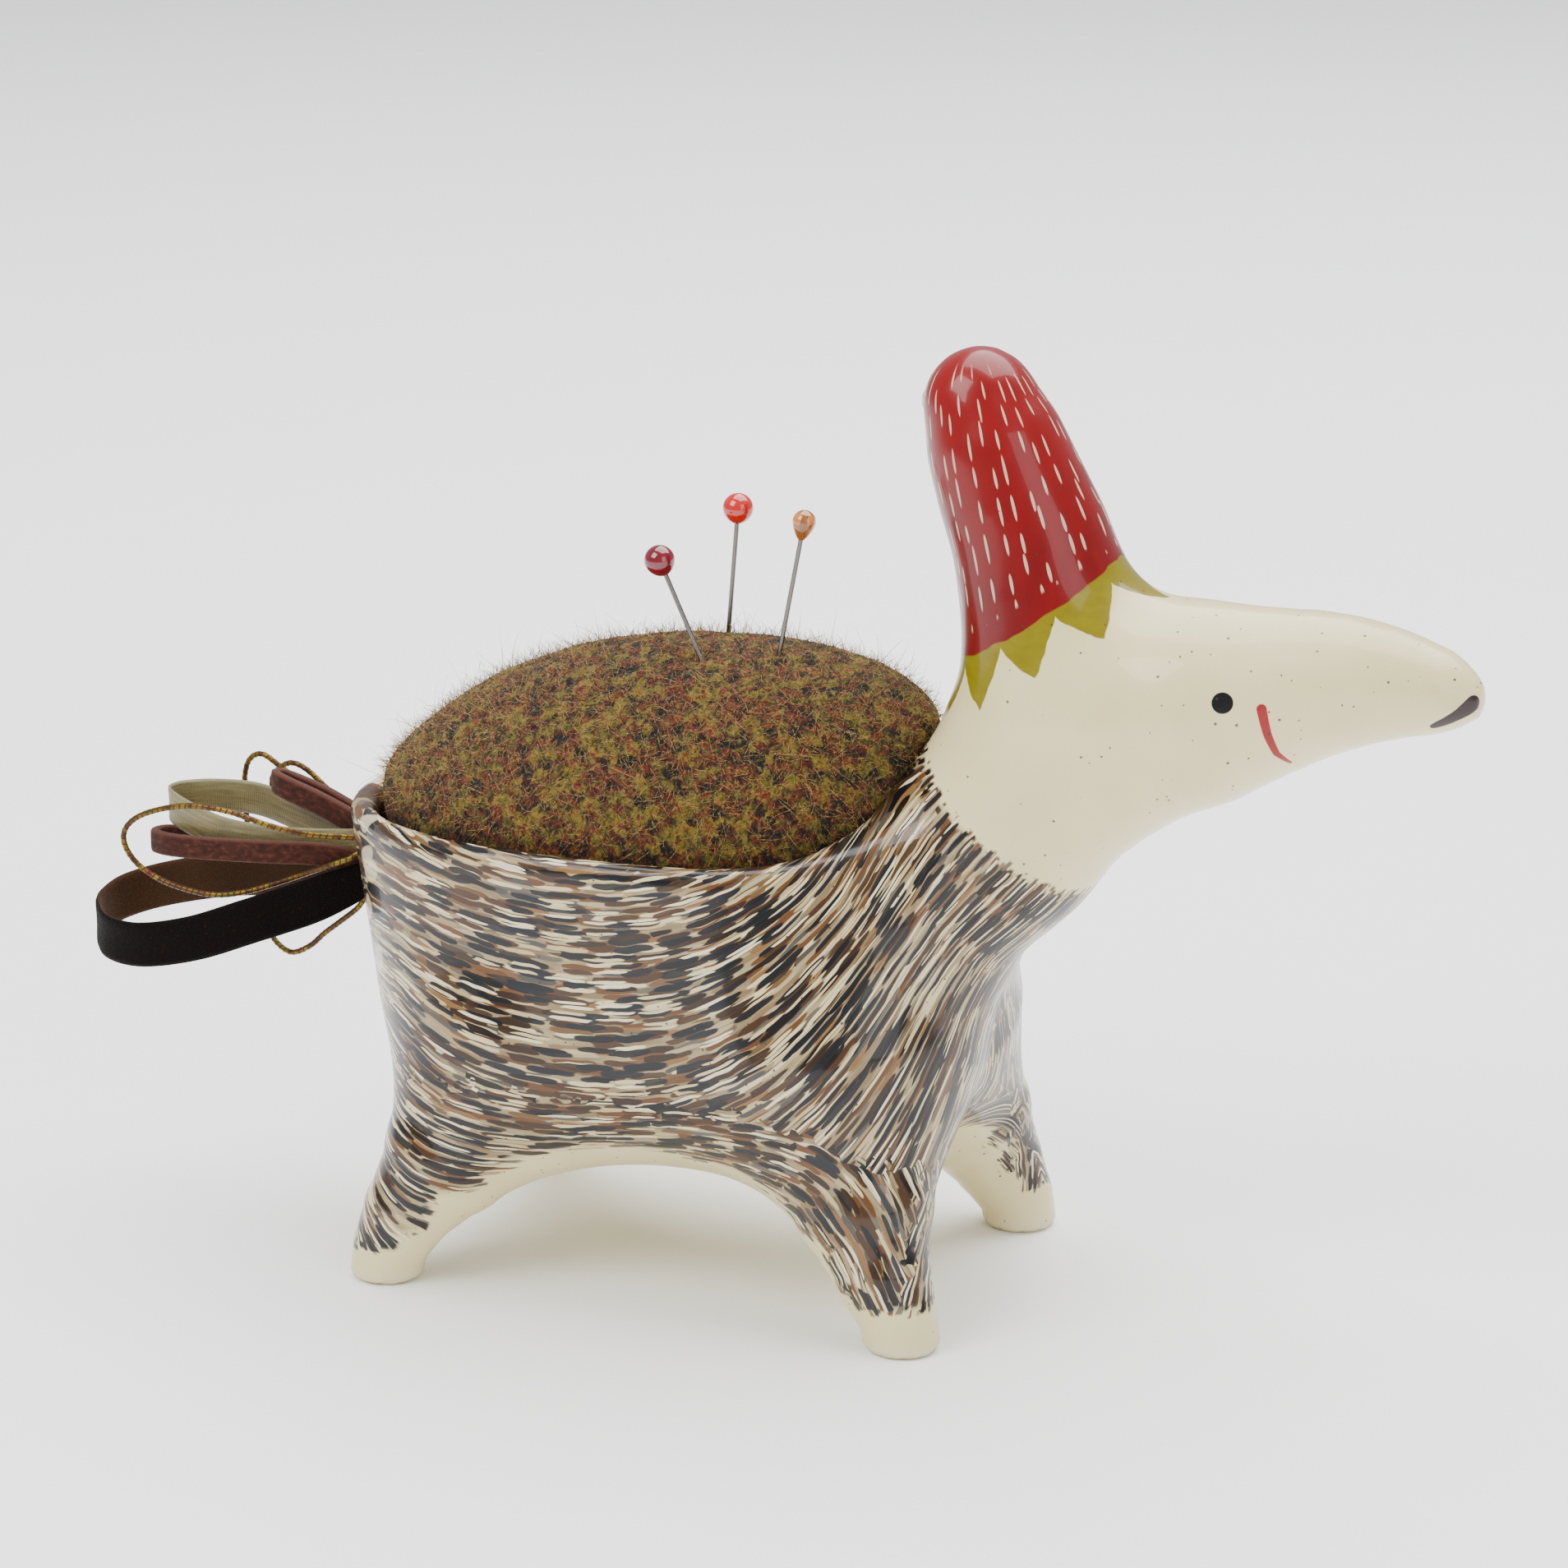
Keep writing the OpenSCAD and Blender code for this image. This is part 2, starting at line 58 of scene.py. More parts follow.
def soft_light(name, place, size, power, tint=(1, 1, 1)):
    data = bpy.data.lights.new(name, "AREA")
    data.shape, data.size, data.size_y = "RECTANGLE", size[0], size[1]
    data.energy, data.color = power, tint
    light = bpy.data.objects.new(name, data)
    light.location = place
    light.rotation_euler = (Vector(place) - Vector((-0.02, 0, 0.05))).to_track_quat("Z", "Y").to_euler()
    scene.collection.objects.link(light)


soft_light("window", (-0.55, -0.75, 0.95), (0.75, 0.75), 15.5, (1, 0.985, 0.96))
soft_light("overhead", (0.1, 0.45, 1.3), (1.5, 1.5), 49.0)
soft_light("fill", (0.9, -0.6, 0.45), (0.6, 0.8), 4.0, (0.96, 0.98, 1))
world = bpy.data.worlds.new("studio")
world.use_nodes = True
world.node_tree.nodes["Background"].inputs["Color"].default_value = (0.93, 0.94, 0.96, 1)
world.node_tree.nodes["Background"].inputs["Strength"].default_value = 0.6
scene.world = world


# --- Ceramic body ---------------------------------------------------------------
# One piece of hand-built clay: a bowl on four legs, with a hollow neck and a head that
# ends in a long snout and a rounded cap. The joins are smoothed over with a wet finger
# and a sponge before it is painted and fired. Sizes are in mm.
MM = 0.001
BOWL_MIDDLE, BOWL_REAR, BOWL_FRONT = -35.0, -75.5, 5.5
BOWL_HALF_WIDTH, RIM, BELLY, WALL, FLOOR = 27.0, 61.0, 14.5, 3.5, 19.0
PLAN_SQUARENESS, BOWL_TURN, BOWL_ROUNDNESS, REAR_SLANT = 2.35, 38, 2.6, 0.145
TAIL_HOLE_Z, TAIL_HOLE_R, TAIL_HOLE_END = 49.3, 5.8, -62
SHOULDER_FILLET, NECK_FILLET, THROAT_FILLET, LEG_FILLET, FLOOR_FILLET = 13, 6, 7, 12, 7
LIP_ROUNDING, MOUTH_ROUNDING, SOLE_ROUNDING, HOLE_ROUNDING, BORE_ROUNDING = 2.0, 2.6, 1.2, 1.2, 1.0
HOLLOW_TOP, SHOULDER_FLATNESS = 92, 0.84
PROBE = 0.05
# Stations along the middle plane: x, z, radius
SHOULDER = [(-9, 42, 17), (2.5, 52.5, 14.5), (13.4, 62.4, 11.5)]
NAPE_AND_CAP = [(13.4, 62.4, 11.3), (18.5, 71.5, 12.1), (21.5, 82, 12.8), (20, 91, 11.5),
                (17.3, 100.6, 10.2), (14.6, 106.7, 9.6), (12.5, 112, 9.0), (10.3, 117.6, 7.5)]
THROAT_AND_SNOUT = [(13.8, 62.6, 11.4), (20, 70.6, 12.9), (26, 75.6, 13.6), (33, 80, 13.9), (39, 81.7, 13.3),
                    (44, 83, 11.8), (49, 84.3, 10.5), (54, 85.6, 9.4), (59, 86.4, 8.35), (64, 86.6, 7.1),
                    (68.9, 86.25, 5.8), (72.5, 85.6, 3.9)]
HOLLOW = [(-6, 45.5, 3), (6.5, 56, 3), (13.6, 62.6, 7.9), (19.5, 71.5, 9), (21.5, 82, 9.3), (20, 90.5, 8.2),
          (17.3, 100, 7), (14.6, 106.4, 6.3), (12.5, 111.5, 5.6)]
HOLLOW_SNOUT = [(23, 78, 9.8), (33, 80.5, 10.2), (39, 81.7, 9.7), (44, 83, 8.2), (49, 84.3, 6.9),
                (54, 85.6, 5.8), (59, 86.4, 4.8)]
# Legs, foot upwards: x, distance from the middle plane, z, radius
REAR_LEG = [(-62.6, 24.6, 0.6, 4.8), (-62.2, 24.5, 4.0, 4.9), (-59.6, 23.7, 9.5, 6.0),
            (-55, 20.8, 16.5, 8.6), (-48, 14, 28, 13)]
FRONT_LEG = [(9.2, 23.5, 0.6, 4.9), (8.7, 23.4, 4.0, 5.0), (6.0, 22.4, 9.5, 6.3),
             (2.6, 19.6, 17, 8.9), (-3, 13, 29, 14)]


def merge(a, b, radius):
    """Joins two forms with a fillet of about that radius."""
    h = np.maximum(radius - np.abs(a - b), 0) / radius
    return np.minimum(a, b) - h * h * radius / 4


def carve(a, b, radius):
    """Cuts form b out of a, with the edge rounded."""
    return -merge(-a, b, radius)


def limb(p, stations):
    """Distance to a chain of tapered rods; stations are (x, y, z, radius)."""
    best = None
    for s, e in zip(stations[:-1], stations[1:]):
        start, end = np.array(s[:3]), np.array(e[:3])
        axis = end - start
        t = np.clip((p - start) @ axis / (axis @ axis), 0, 1)
        d = np.linalg.norm(p - start - t[:, None] * axis, axis=1) - (s[3] + t * (e[3] - s[3]))
        best = d if best is None else np.minimum(best, d)
    return best


def middle(stations):
    return [(x, 0, z, r) for x, z, r in stations]


def rounded_sum(a, b, squareness):
    return np.power(np.power(a, squareness) + np.power(b, squareness) + 1e-9, 1 / squareness)


def bowl_size(p):
    """How big the bowl would have to be to reach each point: 1 on its outer wall."""
    down = RIM - p[:, 2]
    rear = BOWL_REAR + down * REAR_SLANT
    front = BOWL_FRONT + 6 * np.tanh(down * 0.036)
    u = np.abs(p[:, 0] - (rear + front) / 2) / ((front - rear) / 2)
    v = np.abs(p[:, 1]) / BOWL_HALF_WIDTH
    plan = rounded_sum(u, v, PLAN_SQUARENESS)
    low = np.maximum(BOWL_TURN - p[:, 2], 0) / (BOWL_TURN - BELLY)
    return rounded_sum(plan, low, BOWL_ROUNDNESS)


def bowl(p):
    """About the distance to the bowl's outer wall."""
    size = bowl_size(p)
    slope = np.stack([bowl_size(p + np.eye(3)[k] * PROBE) - size for k in range(3)], axis=1) / PROBE
    return (size - 1) / (np.linalg.norm(slope, axis=1) + 1e-4)


def body_form(p):
    """Signed distance, in mm, to the clay: negative inside it."""
    half = p * np.array([1, -1, 1])
    half[:, 1] = np.abs(p[:, 1])
    wall = bowl(half)
    clay = carve(wall, RIM - half[:, 2] - 0.4, LIP_ROUNDING)
    wide = half * np.array([1, SHOULDER_FLATNESS, 1])
    clay = merge(clay, limb(wide, middle(SHOULDER)), SHOULDER_FILLET)
    neck = merge(limb(half, middle(NAPE_AND_CAP)), limb(half, middle(THROAT_AND_SNOUT)), THROAT_FILLET)
    clay = merge(clay, neck, NECK_FILLET)
    for leg in (REAR_LEG, FRONT_LEG):
        clay = merge(clay, limb(half, leg), LEG_FILLET)
    clay = carve(clay, half[:, 2], SOLE_ROUNDING)
    inside = -merge(-(wall + WALL), half[:, 2] - FLOOR, FLOOR_FILLET)
    inside = np.maximum(inside, half[:, 2] - HOLLOW_TOP)
    clay = carve(clay, inside, MOUTH_ROUNDING)
    bore = np.minimum(limb(half, middle(HOLLOW)), limb(half, middle(HOLLOW_SNOUT)))
    clay = carve(clay, bore, BORE_ROUNDING)
    tail_hole = np.hypot(half[:, 1], half[:, 2] - TAIL_HOLE_Z) - TAIL_HOLE_R
    return carve(clay, np.maximum(tail_hole, half[:, 0] - TAIL_HOLE_END), HOLE_ROUNDING)


def clear_selection():
    if bpy.context.object and bpy.context.object.mode != "OBJECT":
        bpy.ops.object.mode_set(mode="OBJECT")
    bpy.ops.object.select_all(action="DESELECT")


def pick(obj):
    clear_selection()
    obj.select_set(True)
    bpy.context.view_layer.objects.active = obj


def new_object(name, verts, faces):
    mesh = bpy.data.meshes.new(name)
    mesh.from_pydata([tuple(v) for v in verts], [], [tuple(f) for f in faces])
    mesh.update()
    mesh.polygons.foreach_set("use_smooth", [True] * len(mesh.polygons))
    obj = bpy.data.objects.new(name, mesh)
    scene.collection.objects.link(obj)
    return obj


def vertex_places(mesh):
    flat = np.empty(len(mesh.vertices) * 3)
    mesh.vertices.foreach_get("co", flat)
    return flat.reshape(-1, 3)


def mesh_normals(mesh):
    flat = np.empty(len(mesh.vertices) * 3)
    mesh.vertices.foreach_get("normal", flat)
    return flat.reshape(-1, 3)


def mesh_edges(mesh):
    flat = np.empty(len(mesh.edges) * 2, dtype=int)
    mesh.edges.foreach_get("vertices", flat)
    return flat.reshape(-1, 2)


def move_vertices(mesh, places):
    mesh.vertices.foreach_set("co", np.asarray(places, dtype=float).ravel())
    mesh.update()


def lay_map(mesh, name, uv):
    """Gives the mesh a UV map from one place per vertex."""
    corner = np.empty(len(mesh.loops), dtype=int)
    mesh.loops.foreach_get("vertex_index", corner)
    mesh.uv_layers.new(name=name).data.foreach_set("uv", uv[corner].ravel())


def work(obj, name, kind, **settings):
    """Puts one modifier on the piece and applies it."""
    pick(obj)
    modifier = obj.modifiers.new(name, kind)
    for setting, value in settings.items():
        setattr(modifier, setting, value)
    bpy.ops.object.modifier_apply(modifier=name)


def settle(mesh, form, rounds, reach=1.2):
    """Draws every vertex onto the form's surface, evening out the faces as it goes."""
    places = vertex_places(mesh) / MM
    edges = mesh_edges(mesh)
    count = np.bincount(edges.ravel(), minlength=len(places)).astype(float)
    for step in range(rounds):
        d = form(places)
        slope = np.stack([form(places + np.eye(3)[k] * PROBE) - d for k in range(3)], axis=1) / PROBE
        size = np.maximum(np.linalg.norm(slope, axis=1), 0.3)
        places = places - (np.clip(d / size, -reach, reach) / size)[:, None] * slope
        if step < rounds - 2:
            around = np.zeros_like(places)
            for k in range(3):
                around[:, k] = (np.bincount(edges[:, 0], places[edges[:, 1], k], len(places))
                                + np.bincount(edges[:, 1], places[edges[:, 0], k], len(places)))
            places = places + 0.45 * (around / count[:, None] - places)
    move_vertices(mesh, places * MM)


def cast(form, low, high, step):
    """Fills the form with a grid of small cells and skins it: a closed mesh of quads."""
    axes = [np.arange(a, b + step, step) for a, b in zip(low, high)]
    grid = np.stack(np.meshgrid(*axes, indexing="ij"), axis=-1)
    size = grid.shape[:3]
    depth = np.concatenate([form(part) for part in np.array_split(grid.reshape(-1, 3), 8)])
    clay = depth.reshape(size) < 0
    corners = sum(clay[i:size[0] - 1 + i, j:size[1] - 1 + j, k:size[2] - 1 + k].astype(int)
                  for i in (0, 1) for j in (0, 1) for k in (0, 1))
    skin = (corners > 0) & (corners < 8)
    number = np.full(skin.shape, -1)
    number[skin] = np.arange(skin.sum())
    places = np.argwhere(skin) * step + np.array(low) + step / 2
    faces = []
    for axis in range(3):
        turned, cells = np.moveaxis(clay, axis, 0), np.moveaxis(number, axis, 0)
        near, far = turned[:-1, 1:-1, 1:-1], turned[1:, 1:-1, 1:-1]
        ring = [cells[:, :-1, :-1], cells[:, 1:, :-1], cells[:, 1:, 1:], cells[:, :-1, 1:]]
        if axis == 1:
            ring = ring[::-1]
        for solid, order in ((near & ~far, ring), (far & ~near, ring[::-1])):
            faces.append(np.stack([r[solid] for r in order], axis=1))
    return places, np.concatenate(faces)


CLAY_STEP = 1.15
CAST_FROM, CAST_TO, SETTLING_ROUNDS = (-80, -30.3, -3.1), (79, 30.1, 129), 10
cast_places, cast_faces = cast(body_form, CAST_FROM, CAST_TO, CLAY_STEP)
body = new_object("painted_body", cast_places * MM, cast_faces)
settle(body.data, body_form, SETTLING_ROUNDS)

# A wet sponge takes the last unevenness out of the neck, head and snout
modelled = vertex_places(body.data) / MM
sponged = body.vertex_groups.new(name="sponged")
for index in np.nonzero((modelled[:, 0] > 3) & (modelled[:, 2] > 66))[0]:
    sponged.add([int(index)], 1.0, "REPLACE")
work(body, "sponge", "SMOOTH", factor=0.5, iterations=26, vertex_group="sponged")
body.vertex_groups.clear()

# --- Brush directions -----------------------------------------------------------
# The painted coat follows the body: level round the bowl and steeply down the hind legs.
# In front it is laid twice, climbing the shoulder to the neck and turning down the front
# legs. Guides are x, z and the brush's rise in degrees, seen from the side.
LEVEL_GUIDES = [(-74, 55, -3), (-72, 40, -10), (-70, 30, -24), (-63, 30, -24), (-67, 20, -56),
                (-65, 10, -72), (-58, 10, -66), (-57, 20, -36), (-50, 25, -12), (-45, 32, -3),
                (-45, 45, 0), (-45, 58, -2), (-30, 56, 2), (-30, 42, 3), (-30, 28, 2), (-20, 57, 10),
                (-18, 45, 11), (-16, 34, 12)]
CLIMB_GUIDES = [(-15, 22, 14), (-8, 55, 24), (-6, 42, 27), (-6, 33, 26), (-7, 24, 30), (-2, 18, 52),
                (2, 12, 68), (6, 7, 82), (9, 18, 88), (3, 52, 38), (4, 42, 50), (3, 32, 62),
                (10, 32, 86), (11, 45, 66), (12, 60, 46), (20, 60, 54), (16, 52, 60)]
FALL_GUIDES = [(-15, 22, -8), (-8, 55, 12), (-6, 42, 12), (-6, 33, 4), (-7, 24, -16), (-2, 18, -42),
               (2, 12, -62), (6, 7, -76), (9, 18, -86), (3, 52, -6), (4, 42, -18), (4, 32, -42),
               (10, 32, -76), (11, 45, -60), (12, 60, -30), (20, 60, -30), (16, 52, -40)]
GUIDE_REACH, INNER_LEG_TOP = 7.0, 27
UNROLL_ROUNDS, LOOSE_TIE = 700, 0.0002


def mirrored(p, normal):
    side = np.where(p[:, 1] > 0, -1.0, 1.0)[:, None] * np.array([0, 1, 0]) + np.array([1, 0, 1])
    return p * side, normal * side


def brush_run(p, normal, guides):
    """The brush's direction along and across at each point, and how settled it is."""
    inside = (bowl(p) < -0.6 * WALL) & (p[:, 2] < RIM + 1)
    outward = normal[:, :2] * np.where(inside, -1, 1)[:, None] + np.array([0, -0.2])
    from_middle = (p[:, :2] - np.array([BOWL_MIDDLE - 1, 0])) * np.array([0.6, 1])
    on_lip = np.interp(p[:, 2], [RIM - 5, RIM - 2.5], [0, 1]) * (p[:, 0] < 2)
    from_middle *= (on_lip / (np.linalg.norm(from_middle, axis=1) + 1e-6))[:, None]
    outward = outward * (1 - on_lip)[:, None] + from_middle
    ring = np.stack([-outward[:, 1], outward[:, 0], np.zeros(len(p))], axis=1)
    ring -= (ring * normal).sum(axis=1)[:, None] * normal
    ring /= np.linalg.norm(ring, axis=1)[:, None] + 1e-6
    climb = np.cross(normal, ring)
    run, rise, total = 0, 0, 1e-9
    for x, z, angle in guides:
        near = np.exp(-((p[:, 0] - x) ** 2 + (p[:, 2] - z) ** 2) / (2 * GUIDE_REACH ** 2))
        run = run + near * math.cos(math.radians(angle))
        rise = rise + near * math.sin(math.radians(angle))
        total = total + near
    run, rise = (run / total)[:, None], (rise / total)[:, None]
    sure = np.hypot(run, rise) + 1e-6
    along = (run * ring + rise * climb) / sure
    # the pattern is cut open down the inner side of each leg, where nothing is painted
    cut = (normal[:, 1] > 0.1) & (p[:, 2] < INNER_LEG_TOP)
    return along, np.cross(normal, along), sure[:, 0] * np.where(cut, 0.05, 1)


def unroll(mesh, directions, sure):
    """Heights whose slope follows the directions, found by conjugate gradients."""
    start, end = mesh_edges(mesh).T
    count = len(mesh.vertices)
    weight = (sure[start] * sure[end]) ** 2 + LOOSE_TIE
    span = half_places[end] - half_places[start]
    rise = weight * ((directions[start] + directions[end]) / 2 * span).sum(axis=1)

    def spread(step):
        return np.bincount(end, step, count) - np.bincount(start, step, count)

    def pull(height):
        return spread(weight * (height[end] - height[start]))

    scale = np.bincount(start, weight, count) + np.bincount(end, weight, count)
    height, rest = np.zeros(count), spread(rise)
    turn = rest / scale
    heading, size = turn, (rest * turn).sum()
    for step in range(UNROLL_ROUNDS):
        stretch = pull(heading)
        share = size / (heading * stretch).sum()
        height, rest = height + share * heading, rest - share * stretch
        turn = rest / scale
        grown = (rest * turn).sum()
        heading, size = turn + grown / size * heading, grown
    return height


half_places, half_normals = mirrored(vertex_places(body.data) / MM, mesh_normals(body.data))
for map_name, front_guides in (("brush_climb", CLIMB_GUIDES), ("brush_fall", FALL_GUIDES)):
    along, across, sure = brush_run(half_places, half_normals, LEVEL_GUIDES + front_guides)
    brush_u, brush_v = unroll(body.data, along, sure), unroll(body.data, across, sure)
    lay_map(body.data, map_name, np.stack([brush_u, brush_v], axis=1))

# How far inside the painted coat each point is, in mm: the coat ends on the neck, above
# the feet, under the belly and just over the lip.
NECK_EDGE, EDGE_RISE, FRONT_FOOT_EDGE, REAR_FOOT_EDGE, WELL_INSIDE = 81.8, 0.18, 5.5, 4.2, 30
hx, hy, hz = half_places.T
coat = (NECK_EDGE + EDGE_RISE * (hx - 14) - hx - hz) / 1.41
front_leg = hx > -30
foot_edge = np.where(front_leg, FRONT_FOOT_EDGE + np.maximum(hy + 20, 0) * 0.45,
                     REAR_FOOT_EDGE + np.maximum(hy + 24, 0) * 0.5)
coat = np.minimum(coat, hz - foot_edge)
tilt_limit = np.interp(hz, [0, 14, 24, 60], [-0.34, -0.42, -0.9, -2])
coat = np.minimum(coat, (half_normals[:, 2] - tilt_limit) * 7)
coat = np.minimum(coat, np.where(hz < INNER_LEG_TOP - 1, (0.8 - half_normals[:, 1]) * 8, WELL_INSIDE))
lip_depth = np.where(hz < RIM + 1, bowl(half_places) + 1.3 * WALL, np.where(hx < 4, 4, WELL_INSIDE))
coat = np.minimum(coat, np.where(lip_depth < 0, -5, np.where(hz < RIM - 4, WELL_INSIDE, lip_depth * 2)))
body.data.attributes.new("coat", "FLOAT", "POINT").data.foreach_set("value", coat)

# Where the falling strokes of the front legs take over from the climbing ones
fall = np.minimum(29 - 0.35 * np.maximum(hx + 6, 0) - hz, 9 - hx + 0.12 * hz)
body.data.attributes.new("fall", "FLOAT", "POINT").data.foreach_set("value", fall)

# --- Glaze and underglaze -------------------------------------------------------
# Speckled cream clay under a clear glaze, its coat painted in six layers of brush touches.
# The cap is red with cream flecks over a ring of green leaves, and the eye, mouth and
# nostril are drawn on both sides of the snout. The soles are left dry.
class Recipe:
    """Short ways to lay out the nodes of one material or group."""

    def __init__(self, tree):
        self.tree = tree

    def node(self, kind, **settings):
        made = self.tree.nodes.new("ShaderNode" + kind)
        for name, setting in settings.items():
            setattr(made, name, setting)
        return made

    def feed(self, socket, source):
        if isinstance(source, bpy.types.NodeSocket):
            self.tree.links.new(source, socket)
        elif source is not None:
            socket.default_value = source

    def math(self, operation, *sources, clamp=False):
        made = self.node("Math", operation=operation, use_clamp=clamp)
        for socket, source in zip(made.inputs, sources):
            self.feed(socket, source)
        return made.outputs[0]

    def vector(self, operation, *sources):
        made = self.node("VectorMath", operation=operation)
        for socket, source in zip(made.inputs, sources):
            self.feed(socket, source)
        return made.outputs["Value" if operation in ("LENGTH", "DISTANCE", "DOT_PRODUCT") else "Vector"]

    def place(self):
        """Where a point lies on the object, in mm."""
        return self.scaled(self.node("TexCoord").outputs["Object"], (1000, 1000, 1000))

    def scaled(self, source, factors):
        return self.vector("MULTIPLY", source, factors)

    def split(self, source):
        made = self.node("SeparateXYZ")
        self.feed(made.inputs[0], source)
        return made.outputs

    def join(self, x=0.0, y=0.0, z=0.0):
        made = self.node("CombineXYZ")
        for socket, source in zip(made.inputs, (x, y, z)):
            self.feed(socket, source)
        return made.outputs[0]

    def ramp(self, source, low, high, start=0.0, end=1.0):
        """Runs from start to end as the source goes from low to high."""
        made = self.node("MapRange", interpolation_type="SMOOTHSTEP")
        for socket, value in zip(made.inputs, (source, low, high, start, end)):
            self.feed(socket, value)
        return made.outputs[0]

    def tint(self, factor, under, over, blend="MIX"):
        made = self.node("Mix", data_type="RGBA", blend_type=blend)
        self.feed(made.inputs[0], factor)
        self.feed(made.inputs[6], under)
        self.feed(made.inputs[7], over)
        return made.outputs[2]

    def palette(self, source, stops, interpolation="LINEAR"):
        made = self.node("ValToRGB")
        band = made.color_ramp
        band.interpolation = interpolation
        while len(band.elements) < len(stops):
            band.elements.new(0.5)
        for element, (place, colour) in zip(band.elements, stops):
            element.position, element.color = place, colour
        self.feed(made.inputs[0], source)
        return made.outputs[0]

    def noise(self, source, scale, detail=2.0, output=0, dimensions="3D"):
        made = self.node("TexNoise", noise_dimensions=dimensions)
        self.feed(made.inputs["Vector"], source)
        made.inputs["Scale"].default_value = scale
        made.inputs["Detail"].default_value = detail
        return made.outputs[output]

    def bump(self, height, strength, distance):
        made = self.node("Bump")
        made.inputs["Strength"].default_value = strength
        made.inputs["Distance"].default_value = distance
        self.feed(made.inputs["Height"], height)
        return made.outputs[0]


def tone(red, green, blue):
    """A paint colour given as it looks on a sample card, 0 to 255."""
    linear = [((c / 255 + 0.055) / 1.055) ** 2.4 if c > 10 else c / 3294.6 for c in (red, green, blue)]
    return (*linear, 1)


def new_material(name):
    material = bpy.data.materials.new(name)
    material.use_nodes = True
    return material, Recipe(material.node_tree), material.node_tree.nodes["Principled BSDF"]


def new_group(name, inputs, outputs):
    """A node group with named sockets: inputs as (kind, name, value)."""
    group = bpy.data.node_groups.new(name, "ShaderNodeTree")
    for kind, label, value in inputs:
        socket = group.interface.new_socket(label, in_out="INPUT", socket_type="NodeSocket" + kind)
        socket.default_value = value
    for kind, label in outputs:
        group.interface.new_socket(label, in_out="OUTPUT", socket_type="NodeSocket" + kind)
    given, out = group.nodes.new("NodeGroupInput").outputs, group.nodes.new("NodeGroupOutput").inputs
    return group, Recipe(group), given, out


def use_group(recipe, group, **sources):
    made = recipe.node("Group", node_tree=group)
    for name, source in sources.items():
        recipe.feed(made.inputs[name.replace("_", " ")], source)
    return made.outputs


# Separate touches of a brush, laid end to end along the coat. Place is in mm, Inside is
# how far a point lies within the coat, and each touch stops at its own distance from its edge.
strokes, r, given, out = new_group("brush strokes", [
    ("Vector", "Place", (0, 0, 0)), ("Vector", "Size", (0.2, 1, 1)), ("Vector", "Shift", (0, 0, 0)),
    ("Float", "Share", 0.5), ("Float", "Inside", 5.0)], [("Float", "Mask"), ("Float", "Tone")])
unsteady = r.noise(r.scaled(given["Place"], (0.3, 0.3, 0)), 1.0, 1.0, dimensions="2D")
swayed = r.vector("ADD", given["Place"], r.join(0, r.math("MULTIPLY_ADD", unsteady, 0.4, -0.2), 0))
cells = r.node("TexVoronoi", voronoi_dimensions="2D", distance="MINKOWSKI")
cells.inputs["Exponent"].default_value = 2.8
cells.inputs["Randomness"].default_value = 0.9
cells.inputs["Scale"].default_value = 1.0
r.feed(cells.inputs["Vector"], r.vector("ADD", r.vector("MULTIPLY", swayed, given["Size"]), given["Shift"]))
chance, hue, girth = r.split(cells.outputs["Color"])[0:3]
reach = r.math("MULTIPLY_ADD", girth, 0.16, 0.36)
shape = r.ramp(r.math("SUBTRACT", reach, cells.outputs["Distance"]), -0.015, 0.05)
laid = r.math("LESS_THAN", chance, given["Share"])
kept = r.ramp(r.math("SUBTRACT", given["Inside"], r.math("MULTIPLY", girth, 1.7)), -0.1, 0.35)
r.feed(out["Mask"], r.math("MULTIPLY", r.math("MULTIPLY", shape, laid), kept))
r.feed(out["Tone"], hue)

# A single drawn line between two points, thinning from Wide to Thin: 1 on the line.
line, r, given, out = new_group("drawn line", [
    ("Vector", "Place", (0, 0, 0)), ("Vector", "From", (0, 0, 0)), ("Vector", "To", (1, 0, 0)),
    ("Float", "Wide", 0.5), ("Float", "Thin", 0.3)], [("Float", "Mask")])
reach = r.vector("SUBTRACT", given["To"], given["From"])
offset = r.vector("SUBTRACT", given["Place"], given["From"])
share = r.math("DIVIDE", r.vector("DOT_PRODUCT", offset, reach), r.vector("DOT_PRODUCT", reach, reach),
               clamp=True)
scaled = r.node("VectorMath", operation="SCALE")
r.feed(scaled.inputs[0], reach)
r.feed(scaled.inputs["Scale"], share)
apart = r.vector("DISTANCE", offset, scaled.outputs[0])
thinning = r.math("SUBTRACT", given["Thin"], given["Wide"])
half = r.math("ADD", given["Wide"], r.math("MULTIPLY", share, thinning))
r.feed(out["Mask"], r.ramp(r.math("SUBTRACT", half, apart), -0.06, 0.06))

CREAM, CREAM_DEEP = tone(230, 217, 168), tone(206, 192, 140)
glaze_clay, r, shader = new_material("glazed_clay")
place = r.place()
px, py, pz = r.split(place)[0:3]
beside = r.math("ABSOLUTE", py)
half_place = r.join(px, beside, pz)
climbing = r.node("UVMap", uv_map="brush_climb").outputs[0]
falling = r.node("UVMap", uv_map="brush_fall").outputs[0]
falls = r.math("ADD", r.node("Attribute", attribute_name="fall").outputs["Fac"],
               r.math("MULTIPLY_ADD", r.noise(place, 0.45, 1.0), 9.0, -4.5))
turned_down = r.node("Mix", data_type="VECTOR")
r.feed(turned_down.inputs[0], r.math("GREATER_THAN", falls, 0.0))
r.feed(turned_down.inputs[4], climbing)
r.feed(turned_down.inputs[5], falling)
brush = turned_down.outputs[1]
coat_edge = r.node("Attribute", attribute_name="coat").outputs["Fac"]
clay_tone = r.tint(r.noise(place, 0.09, 3.0), CREAM, CREAM_DEEP)
hatch = r.noise(r.scaled(brush, (0.16, 0.8, 0)), 1.0, 3.0)
